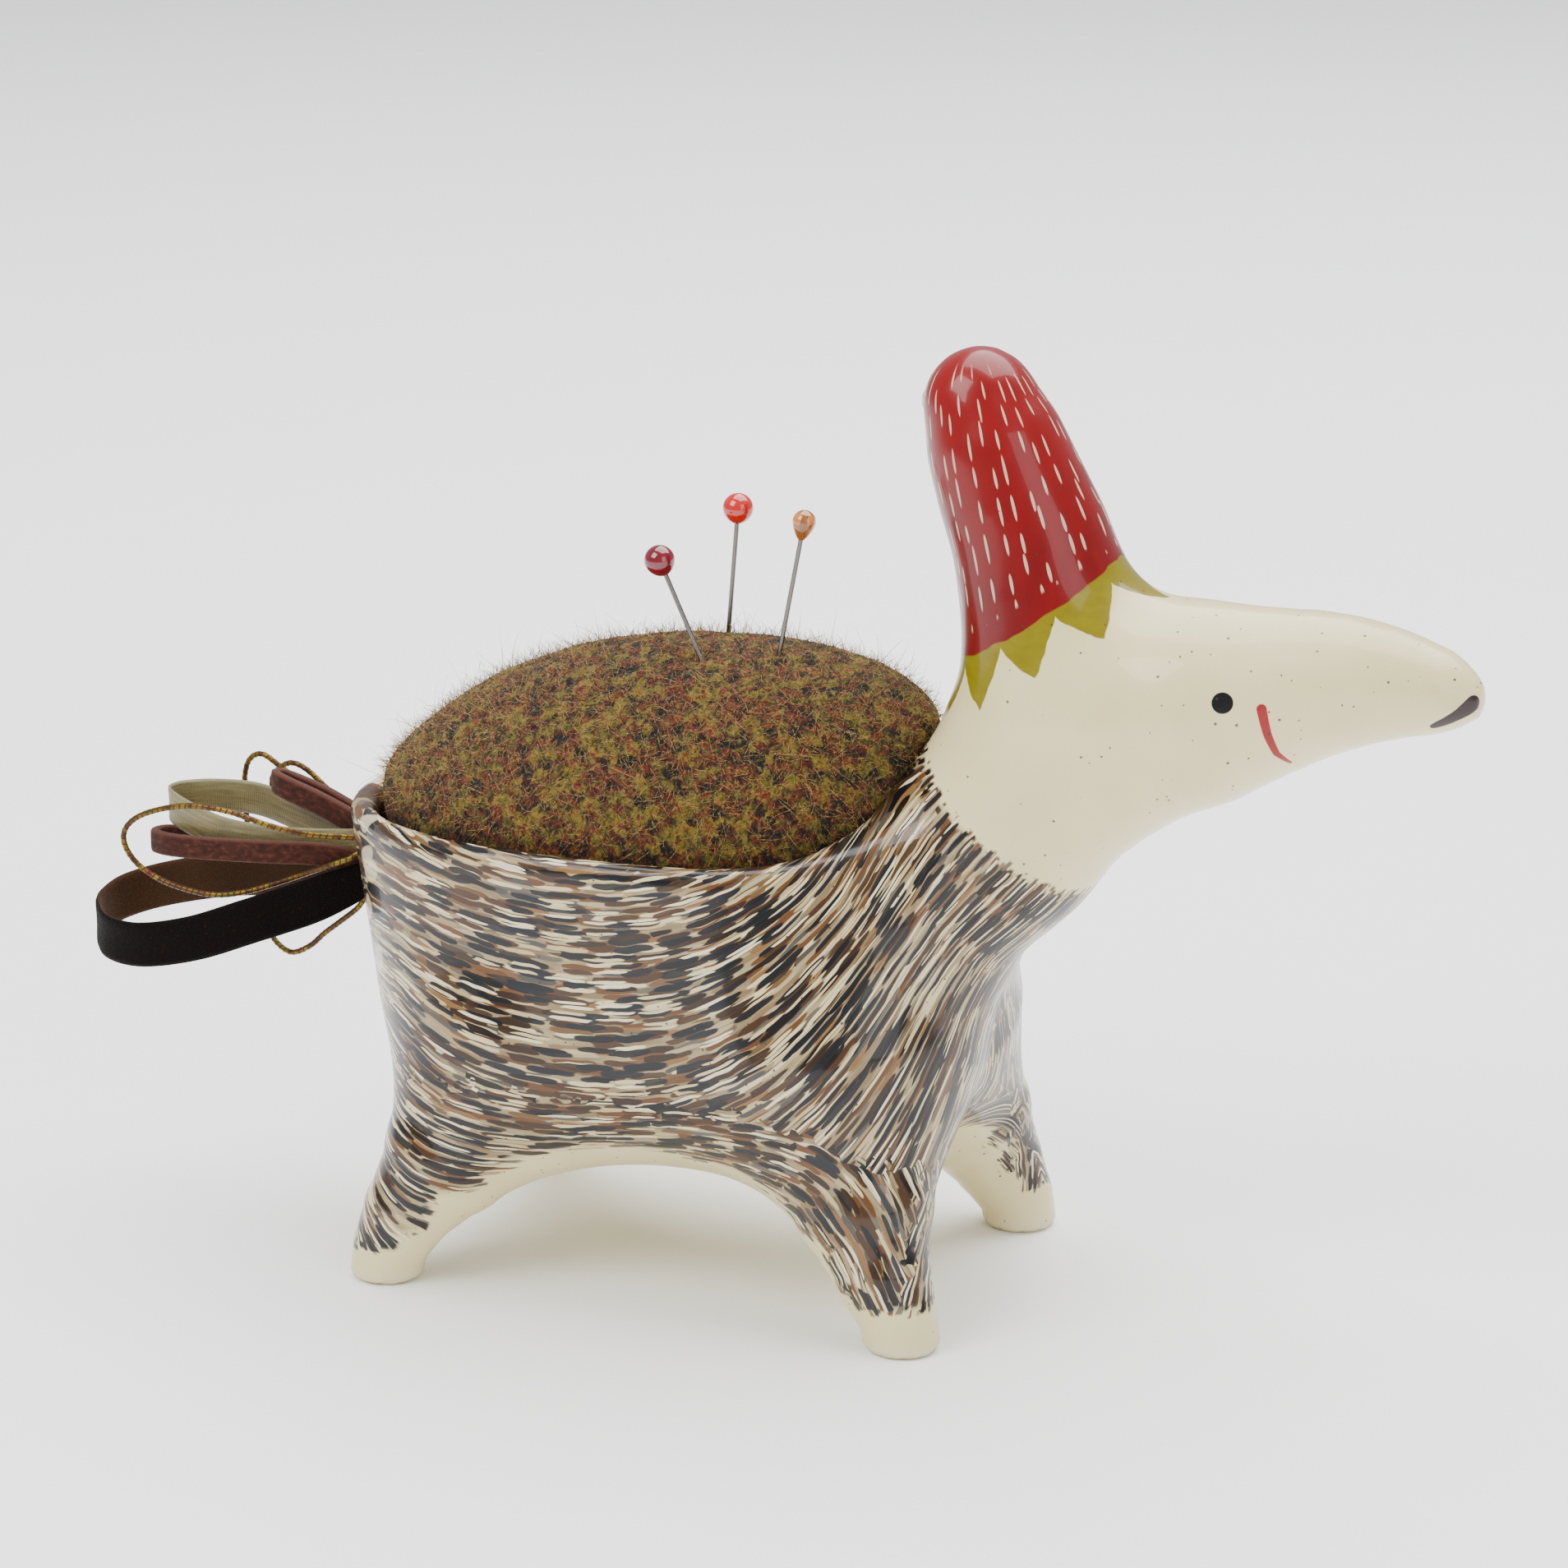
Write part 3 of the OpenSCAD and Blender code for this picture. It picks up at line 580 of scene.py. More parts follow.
# Size of a touch's cell, shift, share laid, strength, and colours by chance
LAYERS = [
    ((0.15, 1.30, 0), (3.1, 7.7, 0), 0.90, 0.96, [(0.0, (122, 100, 66)), (0.3, (98, 70, 38)),
                                                  (0.55, (88, 80, 68)), (0.8, (150, 128, 92))]),
    ((0.17, 1.35, 0), (11.3, 2.9, 0), 0.80, 0.98, [(0.0, (92, 56, 26)), (0.36, (60, 40, 24)),
                                                   (0.62, (66, 62, 58)), (0.86, (124, 88, 46))]),
    ((0.16, 1.75, 0), (33.1, 3.7, 0), 0.42, 0.90, [(0.0, (214, 200, 158)), (0.4, (188, 170, 126)),
                                                   (0.75, (170, 156, 120))]),
    ((0.17, 1.20, 0), (5.7, 19.1, 0), 0.56, 1.00, [(0.0, (46, 30, 18)), (0.4, (26, 26, 29)),
                                                   (0.72, (64, 40, 20))]),
    ((0.16, 1.30, 0), (23.9, 13.3, 0), 0.50, 1.00, [(0.0, (12, 14, 18)), (0.45, (20, 22, 27)),
                                                    (0.75, (22, 13, 9))]),
    ((0.17, 2.60, 0), (41.3, 23.7, 0), 0.20, 0.90, [(0.0, (228, 216, 180)), (0.5, (206, 190, 146))]),
]
wash = r.math("MULTIPLY", r.ramp(coat_edge, 0.4, 2.4), r.ramp(hatch, 0.25, 0.7, 0.6, 0.92))
painted = r.tint(wash, clay_tone, r.tint(r.noise(place, 0.12, 2.0), tone(126, 100, 62), tone(92, 80, 62)))
for size, shift, share, strength, colours in LAYERS:
    touch = use_group(r, strokes, Place=brush, Size=size, Shift=shift, Share=share, Inside=coat_edge)
    paint = r.palette(touch["Tone"], [(p, tone(*c)) for p, c in colours], "CONSTANT")
    worn = r.ramp(hatch, 0.2, 0.62, strength * 0.93, strength)
    painted = r.tint(r.math("MULTIPLY", touch["Mask"], worn), painted, paint)

# The cap: height above its edge, and the turn round its own axis from the forehead.
CAP_EDGE, CAP_LEAN, CAP_AXIS_X, LEAVES = (18.75, 0, 93), (-0.55, 0, 0.835), 17.5, 9
FLECK_STEP, FLECKS_ROUND = 0.24, 24.96
above = r.vector("DOT_PRODUCT", r.vector("SUBTRACT", place, CAP_EDGE), CAP_LEAN)
leaned = r.math("ADD", px, r.math("MULTIPLY", r.math("SUBTRACT", pz, 95), 0.27))
turn = r.math("ARCTAN2", py, r.math("SUBTRACT", leaned, CAP_AXIS_X))
wave = r.math("PINGPONG", r.math("MULTIPLY", turn, LEAVES / math.tau), 0.5)
point = r.math("POWER", r.math("SUBTRACT", 1.0, r.math("MULTIPLY", wave, 2.0)), 0.85)
leaf = r.math("ADD", r.math("MULTIPLY_ADD", point, 5.4, 2.0),
              r.math("MULTIPLY_ADD", r.noise(place, 0.5, 1.0), 1.0, -0.5))
head_part = r.ramp(px, -4, 2)
leaf_mask = r.math("MULTIPLY", r.ramp(r.math("ADD", above, leaf), -0.12, 0.12), head_part)
leaf_wash = r.noise(r.scaled(place, (0.35, 0.35, 0.9)), 1.0, 2.0)
leaf_tone = r.tint(leaf_wash, tone(130, 120, 0), tone(106, 94, 0))
painted = r.tint(r.math("MULTIPLY", leaf_mask, r.ramp(pz, 78, 80)), painted, leaf_tone)
red_edge = r.math("ADD", r.math("MULTIPLY_ADD", beside, 0.14, above),
                  r.math("MULTIPLY_ADD", r.noise(place, 0.35, 1.0), 1.0, -0.5))
red_tone = r.tint(r.noise(r.scaled(place, (0.5, 0.5, 0.12)), 1.0, 3.0), tone(122, 0, 3), tone(86, 0, 2))
red_tone = r.tint(r.ramp(pz, 92, 124, 0, 0.3), red_tone, tone(156, 16, 20))
painted = r.tint(r.math("MULTIPLY", r.ramp(red_edge, -0.1, 0.15), head_part), painted, red_tone)
staggered = r.math("MULTIPLY_ADD", r.noise(place, 0.25, 0.0), 2.0, above)
fleck_place = r.scaled(r.join(staggered, turn, 0), (FLECK_STEP, FLECKS_ROUND / math.tau, 0))
fleck = r.node("TexVoronoi", voronoi_dimensions="2D")
fleck.inputs["Randomness"].default_value = 0.62
fleck.inputs["Scale"].default_value = 1.0
r.feed(fleck.inputs["Vector"], fleck_place)
near = r.vector("SUBTRACT", fleck_place, fleck.outputs["Position"])
oval = r.vector("LENGTH", r.scaled(near, (3.1, 12.5, 0)))
on_cap = r.math("MULTIPLY", r.ramp(above, 1.0, 1.6), r.ramp(pz, 123.6, 121.6))
fleck_mask = r.math("MULTIPLY", r.ramp(oval, 1.15, 0.85), on_cap)
painted = r.tint(r.math("MULTIPLY", fleck_mask, 0.55), painted, tone(232, 214, 186))

# Eye, mouth and nostril. The mouth is drawn as seen from the side.
EYE, EYE_EDGE = (45.7, 11.5, 85.2), (1.42, 1.28)
eye = r.ramp(r.vector("DISTANCE", half_place, EYE), *EYE_EDGE)
painted = r.tint(eye, painted, tone(12, 12, 14))
MOUTH = [(50.3, 10.4, 84.6), (51.0, 9.8, 81.3), (51.8, 8.3, 78.6), (53.0, 6.7, 77.1)]
MOUTH_WIDTHS, FROM_THE_SIDE = [0.62, 0.52, 0.42, 0.25], (1, 0.2, 1)
side_place = r.scaled(half_place, FROM_THE_SIDE)
side_mouth = [[c * s for c, s in zip(point, FROM_THE_SIDE)] for point in MOUTH]
mouth = 0.0
for k in range(3):
    drawn = use_group(r, line, Place=side_place, From=side_mouth[k], To=side_mouth[k + 1],
                      Wide=MOUTH_WIDTHS[k], Thin=MOUTH_WIDTHS[k + 1])["Mask"]
    mouth = r.math("MAXIMUM", mouth, drawn)
painted = r.tint(mouth, painted, tone(140, 8, 14))
nostril = use_group(r, line, Place=half_place, From=(70.3, 4.2, 82.6), To=(74.8, 2.6, 85.7),
                    Wide=0.6, Thin=1.1)["Mask"]
painted = r.tint(nostril, painted, tone(44, 30, 28))

# Iron specks in the clay, and the dry soles
speck = r.node("TexVoronoi")
speck.inputs["Scale"].default_value = 0.8
r.feed(speck.inputs["Vector"], place)
speck_size = r.math("MULTIPLY", r.math("SUBTRACT", r.split(speck.outputs["Color"])[0], 0.45), 0.3)
specks = r.ramp(r.math("SUBTRACT", speck_size, speck.outputs["Distance"]), -0.02, 0.02, 0, 0.85)
painted = r.tint(specks, painted, tone(60, 42, 30))
dry = r.ramp(r.math("ADD", pz, r.noise(place, 0.4, 2.0)), 1.2, 3.2, 1.0, 0.0)
painted = r.tint(r.math("MULTIPLY", dry, 0.5), painted, tone(222, 212, 184))
r.feed(shader.inputs["Base Color"], painted)
r.feed(shader.inputs["Roughness"], r.ramp(dry, 0.0, 1.0, 0.3, 0.66))
r.feed(shader.inputs["Coat Weight"], r.ramp(dry, 0.0, 1.0, 0.34, 0.0))
shader.inputs["Coat Roughness"].default_value = 0.05
shader.inputs["Specular IOR Level"].default_value = 0.22
r.feed(shader.inputs["Normal"], r.bump(r.noise(place, 0.12, 2.0), 0.08, 0.0008))
body.data.materials.append(glaze_clay)
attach(body, "bowl")
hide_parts("ceramic_body")

# --- Tail ribbons ---------------------------------------------------------------
# Loops of velvet, satin and suede ribbon, bound together inside the bowl and drawn
# out through the hole in the rump. Each is a flat strip standing on its edge.
# Routes: x, y, z and the share of the full width that the ribbon has there.
VELVET = [(-66.6, -2.6, 47.5, 0.66), (-70.5, -2.6, 47.5, 0.66), (-74.6, -2.7, 47.3, 0.68),
          (-78, -3.6, 45.6, 0.87), (-83, -5, 43.3, 1), (-91, -7, 40.2, 1), (-99, -8, 37.2, 1),
          (-107, -7.9, 35.4, 1), (-113, -6, 35.3, 1), (-116.3, -2.6, 36.2, 1), (-117, 0.6, 36.9, 1),
          (-115.8, 4.2, 37.9, 1), (-111.5, 7.1, 39.2, 1), (-104, 8.3, 40.9, 1), (-96, 7.8, 42.3, 1),
          (-88, 6.2, 43.6, 1), (-81, 4.5, 44.9, 0.96), (-77.5, 3.3, 46.2, 0.8), (-74.6, 2.7, 47.3, 0.68),
          (-70.5, 2.6, 47.5, 0.66), (-66.6, 2.6, 47.5, 0.66)]
SATIN = [(-66.6, -0.9, 51.9, 0.7), (-70.5, -0.9, 51.9, 0.7), (-74.6, -0.9, 51.8, 0.72),
         (-79, -1, 50.9, 0.9), (-85, -1.3, 50.2, 1), (-92, -1.5, 50, 1), (-98, -1.5, 50.6, 1),
         (-103, -0.8, 52, 1), (-106.2, 0.6, 53, 1), (-106.8, 2.4, 53.2, 1), (-105.4, 4.4, 53.3, 1),
         (-101.5, 6, 53.4, 1), (-96, 6.8, 53.2, 1), (-90, 6.2, 52, 1), (-84.5, 5.1, 50.9, 1),
         (-79.5, 4.2, 50.7, 0.9), (-74.6, 3.3, 51.2, 0.58), (-70.5, 3.3, 51.2, 0.56),
         (-66.6, 3.3, 51.2, 0.56)]
SUEDE_LONG = [(-66.6, -1.2, 47.7, 0.96), (-70.5, -1.2, 47.7, 0.96), (-74.6, -1.4, 47.8, 0.96),
              (-78, -2.4, 49.2, 1), (-83, -3, 49.6, 1), (-90, -3.4, 49.2, 1), (-98, -3.5, 48.8, 1),
              (-104, -3.3, 48.6, 1), (-107, -2.4, 48.6, 1), (-107.6, -1, 48.6, 1),
              (-106.6, 0.4, 48.6, 1), (-103, 1, 48.5, 1), (-96, 1, 48.4, 1), (-88, 1, 48.5, 1),
              (-80, 1.1, 48.3, 1), (-74.6, 1.2, 47.8, 0.96), (-70.5, 1.2, 47.7, 0.96),
              (-66.6, 1.2, 47.7, 0.96)]
SUEDE_SHORT = [(-66.6, 0.5, 51.8, 0.93), (-70.5, 0.5, 51.8, 0.93), (-74.6, 0.5, 52, 0.93),
               (-79.5, 0.9, 53.8, 1), (-84.5, 1.3, 55.6, 1), (-89, 1.7, 56.9, 1), (-90.9, 2.4, 57.4, 1),
               (-91, 3.4, 57.4, 1), (-89.4, 4.1, 56.9, 1), (-84.5, 3.7, 55.6, 1), (-79.5, 2.8, 53.9, 1),
               (-74.6, 2.1, 52, 0.93), (-70.5, 2.1, 51.8, 0.93), (-66.6, 2.1, 51.8, 0.93)]


BACK_FACE = 100.0  # how far a ribbon's back lies from its front on its map


def smoothed(route, steps):
    """A Catmull-Rom curve through the route's points."""
    q = np.array(route, dtype=float)
    q = np.vstack([q[:1], q, q[-1:]])
    a, b, c, d = q[:-3], q[1:-2], q[2:-1], q[3:]
    t = np.arange(steps)[:, None, None] / steps
    curve = 0.5 * (2 * b + (c - a) * t + (2 * a - 5 * b + 4 * c - d) * t ** 2
                   + (3 * b - a - 3 * c + d) * t ** 3)
    return np.vstack([curve.transpose(1, 0, 2).reshape(-1, q.shape[1]), q[-2:-1]])


def travelled(path):
    return np.concatenate([[0], np.cumsum(np.linalg.norm(np.diff(path[:, :3], axis=0), axis=1))])


def headings(path):
    ahead = np.vstack([path[1:, :3], path[-1:, :3]]) - np.vstack([path[:1, :3], path[:-1, :3]])
    return ahead / np.linalg.norm(ahead, axis=1)[:, None]


def face_outward(obj):
    pick(obj)
    bpy.ops.object.mode_set(mode="EDIT")
    bpy.ops.mesh.select_all(action="SELECT")
    bpy.ops.mesh.normals_make_consistent(inside=False)
    bpy.ops.object.mode_set(mode="OBJECT")


def skin_rings(name, rings, uvs):
    """A closed skin over rings of points, its map running along and round them."""
    count, size = rings.shape[:2]
    index = np.arange(count * size).reshape(count, size)
    here, ahead = index[:-1], index[1:]
    faces = np.stack([here, ahead, np.roll(ahead, -1, 1), np.roll(here, -1, 1)], axis=-1).reshape(-1, 4)
    ends = [index[0].tolist(), index[-1, ::-1].tolist()]
    obj = new_object(name, rings.reshape(-1, 3), faces.tolist() + ends)
    face_outward(obj)
    lay_map(obj.data, "cloth_map", uvs.reshape(-1, 2))
    return obj


def ribbon(name, route, width, thickness, sway, round_edge=0.35):
    """A strip of ribbon: rounded edges, its face cupped a little along its length."""
    path = smoothed(route, 8)
    along, ahead = travelled(path), headings(path)
    side = np.cross([0, 0, 1], ahead)
    side /= np.linalg.norm(side, axis=1)[:, None]
    up = np.cross(ahead, side)
    across = np.linspace(-1, 1, 13)
    edge = np.sqrt(np.clip(1 - np.abs(across) ** 6, 0, 1)) * (1 - round_edge) + round_edge
    half = path[:, 3] * width / 2
    outline = [(u, k) for u, k in zip(across, edge)] + [(u, -k) for u, k in zip(across[::-1], edge[::-1])]
    rings, uvs = [], []
    for u, k in outline:
        cup = sway * np.sin(along * 0.16) * (u * u - 0.35)
        offset = k * thickness / 2 + cup
        rings.append(path[:, :3] + offset[:, None] * side + (u * half)[:, None] * up)
        uvs.append(np.stack([along, u * half + (0 if k > 0 else BACK_FACE)], axis=1))
    piece = skin_rings(name, np.stack(rings, axis=1) * MM, np.stack(uvs, axis=1))
    return piece, path[:, :3] * MM, along[-1] * MM


def from_middle_line(r, cloth):
    """How far a point lies from the middle of its face of the ribbon, in mm."""
    turned = r.math("MODULO", r.math("ADD", r.split(cloth)[1], BACK_FACE / 2), BACK_FACE)
    return r.math("ABSOLUTE", r.math("SUBTRACT", turned, BACK_FACE / 2))


def bind_in(piece, node):
    """Declares a loop of the tail: both its ends are bound inside the bowl."""
    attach(piece, "tail")
    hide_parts(node)


# Velvet: short black-brown pile on its outer face, a plain woven brown back
velvet, r, shader = new_material("velvet_ribbon")
cloth = r.node("UVMap", uv_map="cloth_map").outputs[0]
back = r.math("GREATER_THAN", r.split(cloth)[1], BACK_FACE / 2)
pile = r.noise(r.scaled(cloth, (1.1, 1.4, 0)), 1.0, 4.0)
pile_tone = r.palette(pile, [(0.3, tone(3, 1, 1)), (0.6, tone(9, 3, 1)), (0.8, tone(36, 18, 8))])
weave = r.math("MULTIPLY", r.math("SINE", r.math("MULTIPLY", r.split(cloth)[0], 18.0)),
               r.math("SINE", r.math("MULTIPLY", r.split(cloth)[1], 14.0)))
back_tone = r.tint(r.math("MULTIPLY_ADD", weave, 0.3, 0.4), tone(46, 30, 18), tone(72, 48, 30))
r.feed(shader.inputs["Base Color"], r.tint(back, pile_tone, back_tone))
r.feed(shader.inputs["Roughness"], r.ramp(pile, 0.2, 0.8, 0.75, 0.95))
shader.inputs["Sheen Weight"].default_value = 0.06
shader.inputs["Specular IOR Level"].default_value = 0.08
shader.inputs["Sheen Roughness"].default_value = 0.35
fine = r.noise(r.scaled(cloth, (5.0, 5.0, 0)), 1.0, 2.0)
r.feed(shader.inputs["Normal"], r.bump(r.math("ADD", fine, r.math("MULTIPLY", weave, 0.3)), 0.5, 0.0003))
VELVET_WIDTH, VELVET_THICKNESS = 6.2, 0.9
velvet_loop, path, length = ribbon("velvet_ribbon", VELVET, VELVET_WIDTH, VELVET_THICKNESS, 0.25)
velvet_loop.data.materials.append(velvet)
bind_in(velvet_loop, "velvet_loop")

# Satin: olive-sage with fine ribs across it and a firmer selvedge
satin, r, shader = new_material("satin_ribbon")
cloth = r.node("UVMap", uv_map="cloth_map").outputs[0]
ribs = r.math("SINE", r.math("MULTIPLY", r.split(cloth)[0], 21.0))
selvedge = r.ramp(from_middle_line(r, cloth), 1.75, 1.95)
satin_tone = r.palette(r.noise(r.scaled(cloth, (0.25, 2.5, 0)), 1.0, 3.0),
                       [(0.25, tone(92, 82, 48)), (0.6, tone(128, 116, 74)), (0.85, tone(162, 148, 102))])
satin_tone = r.tint(r.math("MULTIPLY_ADD", ribs, 0.12, 0.12), satin_tone, tone(92, 86, 60))
r.feed(shader.inputs["Base Color"], r.tint(r.math("MULTIPLY", selvedge, 0.6), satin_tone, tone(122, 116, 84)))
r.feed(shader.inputs["Roughness"], r.math("MULTIPLY_ADD", ribs, 0.05, 0.38))
shader.inputs["Sheen Weight"].default_value = 0.1
shader.inputs["Anisotropic"].default_value = 0.5
r.feed(shader.inputs["Normal"], r.bump(r.math("ADD", ribs, r.math("MULTIPLY", selvedge, 2.0)), 0.35, 0.00012))
SATIN_WIDTH, SATIN_THICKNESS = 4.6, 0.4
satin_loop, path, length = ribbon("satin_ribbon", SATIN, SATIN_WIDTH, SATIN_THICKNESS, 0.3, 0.6)
satin_loop.data.materials.append(satin)
bind_in(satin_loop, "satin_loop")

# Suede: flat reddish-brown lace, napped on both faces, paler along the cut edges
suede, r, shader = new_material("suede_lace")
cloth = r.node("UVMap", uv_map="cloth_map").outputs[0]
nap = r.noise(r.scaled(cloth, (0.9, 1.6, 0)), 1.0, 5.0)
suede_tone = r.palette(nap, [(0.25, tone(34, 15, 9)), (0.5, tone(56, 27, 19)), (0.75, tone(84, 46, 34))])
cut_edge = r.ramp(from_middle_line(r, cloth), 1.15, 1.45, 0, 0.7)
r.feed(shader.inputs["Base Color"], r.tint(cut_edge, suede_tone, tone(84, 46, 34)))
r.feed(shader.inputs["Roughness"], r.ramp(nap, 0.2, 0.8, 0.86, 0.98))
shader.inputs["Sheen Weight"].default_value = 0.12
shader.inputs["Specular IOR Level"].default_value = 0.1
grain = r.noise(r.scaled(cloth, (7.0, 7.0, 0)), 1.0, 3.0)
r.feed(shader.inputs["Normal"], r.bump(grain, 0.5, 0.00025))
SUEDE_WIDTH, SUEDE_THICKNESS = 3.0, 1.3
for name, node, route in (("suede_lace_long", "suede_loop_long", SUEDE_LONG),
                          ("suede_lace_short", "suede_loop_short", SUEDE_SHORT)):
    lace, path, length = ribbon(name, route, SUEDE_WIDTH, SUEDE_THICKNESS, 0.0, 0.8)
    lace.data.materials.append(suede)
    bind_in(lace, node)

# --- Metallic cords -------------------------------------------------------------
# Thin round cords, a dark core wound with flat foil in gold, green and red. They are
# bound in with the ribbons and spring out in loose loops round them.
CORDS = [
    ("metallic_cord_1", [(-66.6, -2.6, 52.5), (-74.6, -2.6, 52.5), (-82, -5, 52.9), (-87.6, -6, 53.8),
                         (-93.8, -6.2, 55.2), (-100.2, -6, 55.3), (-106.6, -5.6, 53.5),
                         (-110, -5.2, 51.1), (-110.5, -5, 48.4), (-108.3, -5, 45.6),
                         (-103.8, -5.2, 43.7), (-97.5, -5.4, 42.9), (-92.7, -5, 43.6), (-88, -4.4, 45.2),
                         (-84, -3.9, 46.8), (-80, -4.6, 48.6), (-77, -4.3, 49.8), (-74.6, -3.4, 50.9),
                         (-66.6, -3.4, 50.9)]),
    ("metallic_cord_2", [(-66.6, 4.4, 48.8), (-74.6, 4.4, 48.8), (-78, 5.8, 48.9), (-82.4, 8, 50.6),
                         (-88.3, 9, 54), (-93.9, 9.3, 57.5), (-96.7, 9.4, 58.9), (-98.8, 9.6, 57.7),
                         (-99.8, 10, 54.5), (-100, 10.6, 49.5), (-99.6, 10.8, 43.5), (-98, 10, 39),
                         (-95.6, 7.4, 36), (-93, 4.2, 34.3), (-89.6, 2.6, 33.2), (-86.4, 2, 34.6),
                         (-83.8, 1.5, 36.9), (-81.4, 1, 38.8), (-78.3, 0.4, 41.3), (-74.6, -0.2, 44.8),
                         (-66.6, -0.2, 44.8)]),
    ("metallic_cord_3", [(-66.6, 4.4, 50.2), (-74.6, 4.4, 50.2), (-78, 5.2, 51.2), (-81.1, 6, 53),
                         (-84.9, 6.2, 55.8), (-88.3, 6.3, 58.4), (-90.8, 6.5, 59), (-93.1, 7, 57.6),
                         (-94.4, 7.8, 55.7), (-94.4, 9, 52.5), (-92, 10.4, 49.5), (-88, 10.2, 46.5),
                         (-84, 8.8, 43.8), (-81, 6.8, 42), (-78.6, 4.6, 41.5), (-76.8, 2.8, 42.6),
                         (-74.6, 1.3, 44.8), (-66.6, 1.3, 44.8)]),
]
CORD_WIDTH, FOIL_PITCH, CORD_SIDES = 0.8, 0.9, 12

foil, r, shader = new_material("metallic_cord")
cloth = r.node("UVMap", uv_map="cloth_map").outputs[0]
cu, cv = r.split(cloth)[0:2]
winding = r.math("FRACT", r.math("ADD", r.math("DIVIDE", cu, FOIL_PITCH), cv))
gap = r.ramp(r.math("ABSOLUTE", r.math("SUBTRACT", winding, 0.5)), 0.34, 0.44)
dyed = r.palette(r.noise(r.join(r.math("MULTIPLY", cu, 0.16), 0.0, 0.0), 1.0, 1.0),
                 [(0.30, tone(70, 68, 6)), (0.43, tone(112, 82, 8)), (0.53, tone(66, 36, 8)),
                  (0.60, tone(116, 98, 14)), (0.68, tone(96, 20, 10)), (0.78, tone(34, 20, 8))])
r.feed(shader.inputs["Base Color"], r.tint(gap, dyed, tone(36, 20, 8)))
r.feed(shader.inputs["Metallic"], r.ramp(gap, 0.0, 1.0, 0.7, 0.0))
r.feed(shader.inputs["Roughness"], r.ramp(gap, 0.0, 1.0, 0.32, 0.8))
r.feed(shader.inputs["Normal"], r.bump(gap, 0.6, -0.00008))
for name, route in CORDS:
    path = smoothed(route, 24)
    along, ahead = travelled(path), headings(path)
    side = np.cross([0, 1, 0], ahead)
    side /= np.linalg.norm(side, axis=1)[:, None]
    up = np.cross(ahead, side)
    rings, uvs = [], []
    for k in range(CORD_SIDES):
        angle = 2 * math.pi * k / CORD_SIDES
        swell = CORD_WIDTH / 2 * (0.98 + 0.04 * np.cos(2 * math.pi * along / FOIL_PITCH + angle))
        rings.append(path + swell[:, None] * (math.cos(angle) * side + math.sin(angle) * up))
        uvs.append(np.stack([along, np.full(len(along), k / CORD_SIDES)], axis=1))
    cord = skin_rings(name.replace("metallic", "foil"), np.stack(rings, axis=1) * MM, np.stack(uvs, axis=1))
    cord.data.materials.append(foil)
    bind_in(cord, name)

# --- Tweed pad ------------------------------------------------------------------
# A round of brushed wool tweed, gathered over a ball of stuffing and a card and glued
# down inside the bowl. The cloth is drawn tight, with the pins pushed in at its crown.
PAD_WELD, PAD_VOXEL, PAD_FULLNESS, PAD_SWELL, GLUED_BELOW = 0.00002, 0.0017, 0.0003, 0.0009, 0.052
pad = nodes_3d["pad_cover"].copy()
pad.data = nodes_3d["pad_cover"].data.copy()
pad.name = "tweed_pad"
scene.collection.objects.link(pad)
pick(pad)
pad.data.materials.clear()
bpy.ops.object.mode_set(mode="EDIT")
bpy.ops.mesh.select_all(action="SELECT")
bpy.ops.mesh.remove_doubles(threshold=PAD_WELD)
bpy.ops.mesh.convex_hull()
bpy.ops.mesh.select_all(action="SELECT")
bpy.ops.mesh.normals_make_consistent(inside=False)
bpy.ops.object.mode_set(mode="OBJECT")
work(pad, "felt", "REMESH", mode="VOXEL", voxel_size=PAD_VOXEL)
work(pad, "relax", "SMOOTH", factor=0.5, iterations=10)
start_places = vertex_places(pad.data) + mesh_normals(pad.data) * PAD_FULLNESS
move_vertices(pad.data, start_places)
held = pad.vertex_groups.new(name="held")
low = [int(i) for i in np.nonzero(start_places[:, 2] < GLUED_BELOW)[0]]
held.add(low, 1.0, "REPLACE")
cloth = pad.modifiers.new("cloth", "CLOTH")
cloth.settings.quality = 5
cloth.settings.mass = 0.1
cloth.settings.tension_stiffness = cloth.settings.compression_stiffness = 12
cloth.settings.bending_stiffness = 0.4
cloth.settings.use_pressure = True
cloth.settings.uniform_pressure_force = 4
cloth.settings.vertex_group_mass = "held"
cloth.settings.effector_weights.gravity = 0
cloth.collision_settings.use_collision = False
for frame_number in range(1, 15):
    scene.frame_set(frame_number)
drawn = pad.evaluated_get(bpy.context.evaluated_depsgraph_get())
swollen = vertex_places(drawn.data)
pad.modifiers.remove(cloth)
scene.frame_set(1)
moved = swollen - start_places
far = np.linalg.norm(moved, axis=1)
moved *= (np.minimum(far, PAD_SWELL) / np.maximum(far, 1e-9))[:, None]
moved[~np.isfinite(far)] = 0
move_vertices(pad.data, start_places + moved)
fineness = 2
work(pad, "finer", "SUBSURF", levels=fineness, render_levels=fineness)

# The weave's diagonal ridges, a little fluff, and the dimple round each pin
PIN_ENTRIES = [(-25, -6.5, 83.4), (-25.3, 4, 83.9), (-15.3, -3.5, 83.7)]
pad_places, pad_normals = vertex_places(pad.data) / MM, mesh_normals(pad.data)
crown = pad_places[np.argmax(pad_places[:, 2])]
spread = pad_places - np.array([BOWL_MIDDLE, 0, crown[2]])
flat_reach = np.hypot(spread[:, 0], spread[:, 1])
slope_reach = np.hypot(flat_reach, spread[:, 2] * 0.85)
cloth_uv = spread[:, :2] * (slope_reach / np.maximum(flat_reach, 0.01))[:, None]
diagonal = (cloth_uv[:, 0] + 0.55 * cloth_uv[:, 1]), (0.45 * cloth_uv[:, 0] - cloth_uv[:, 1])
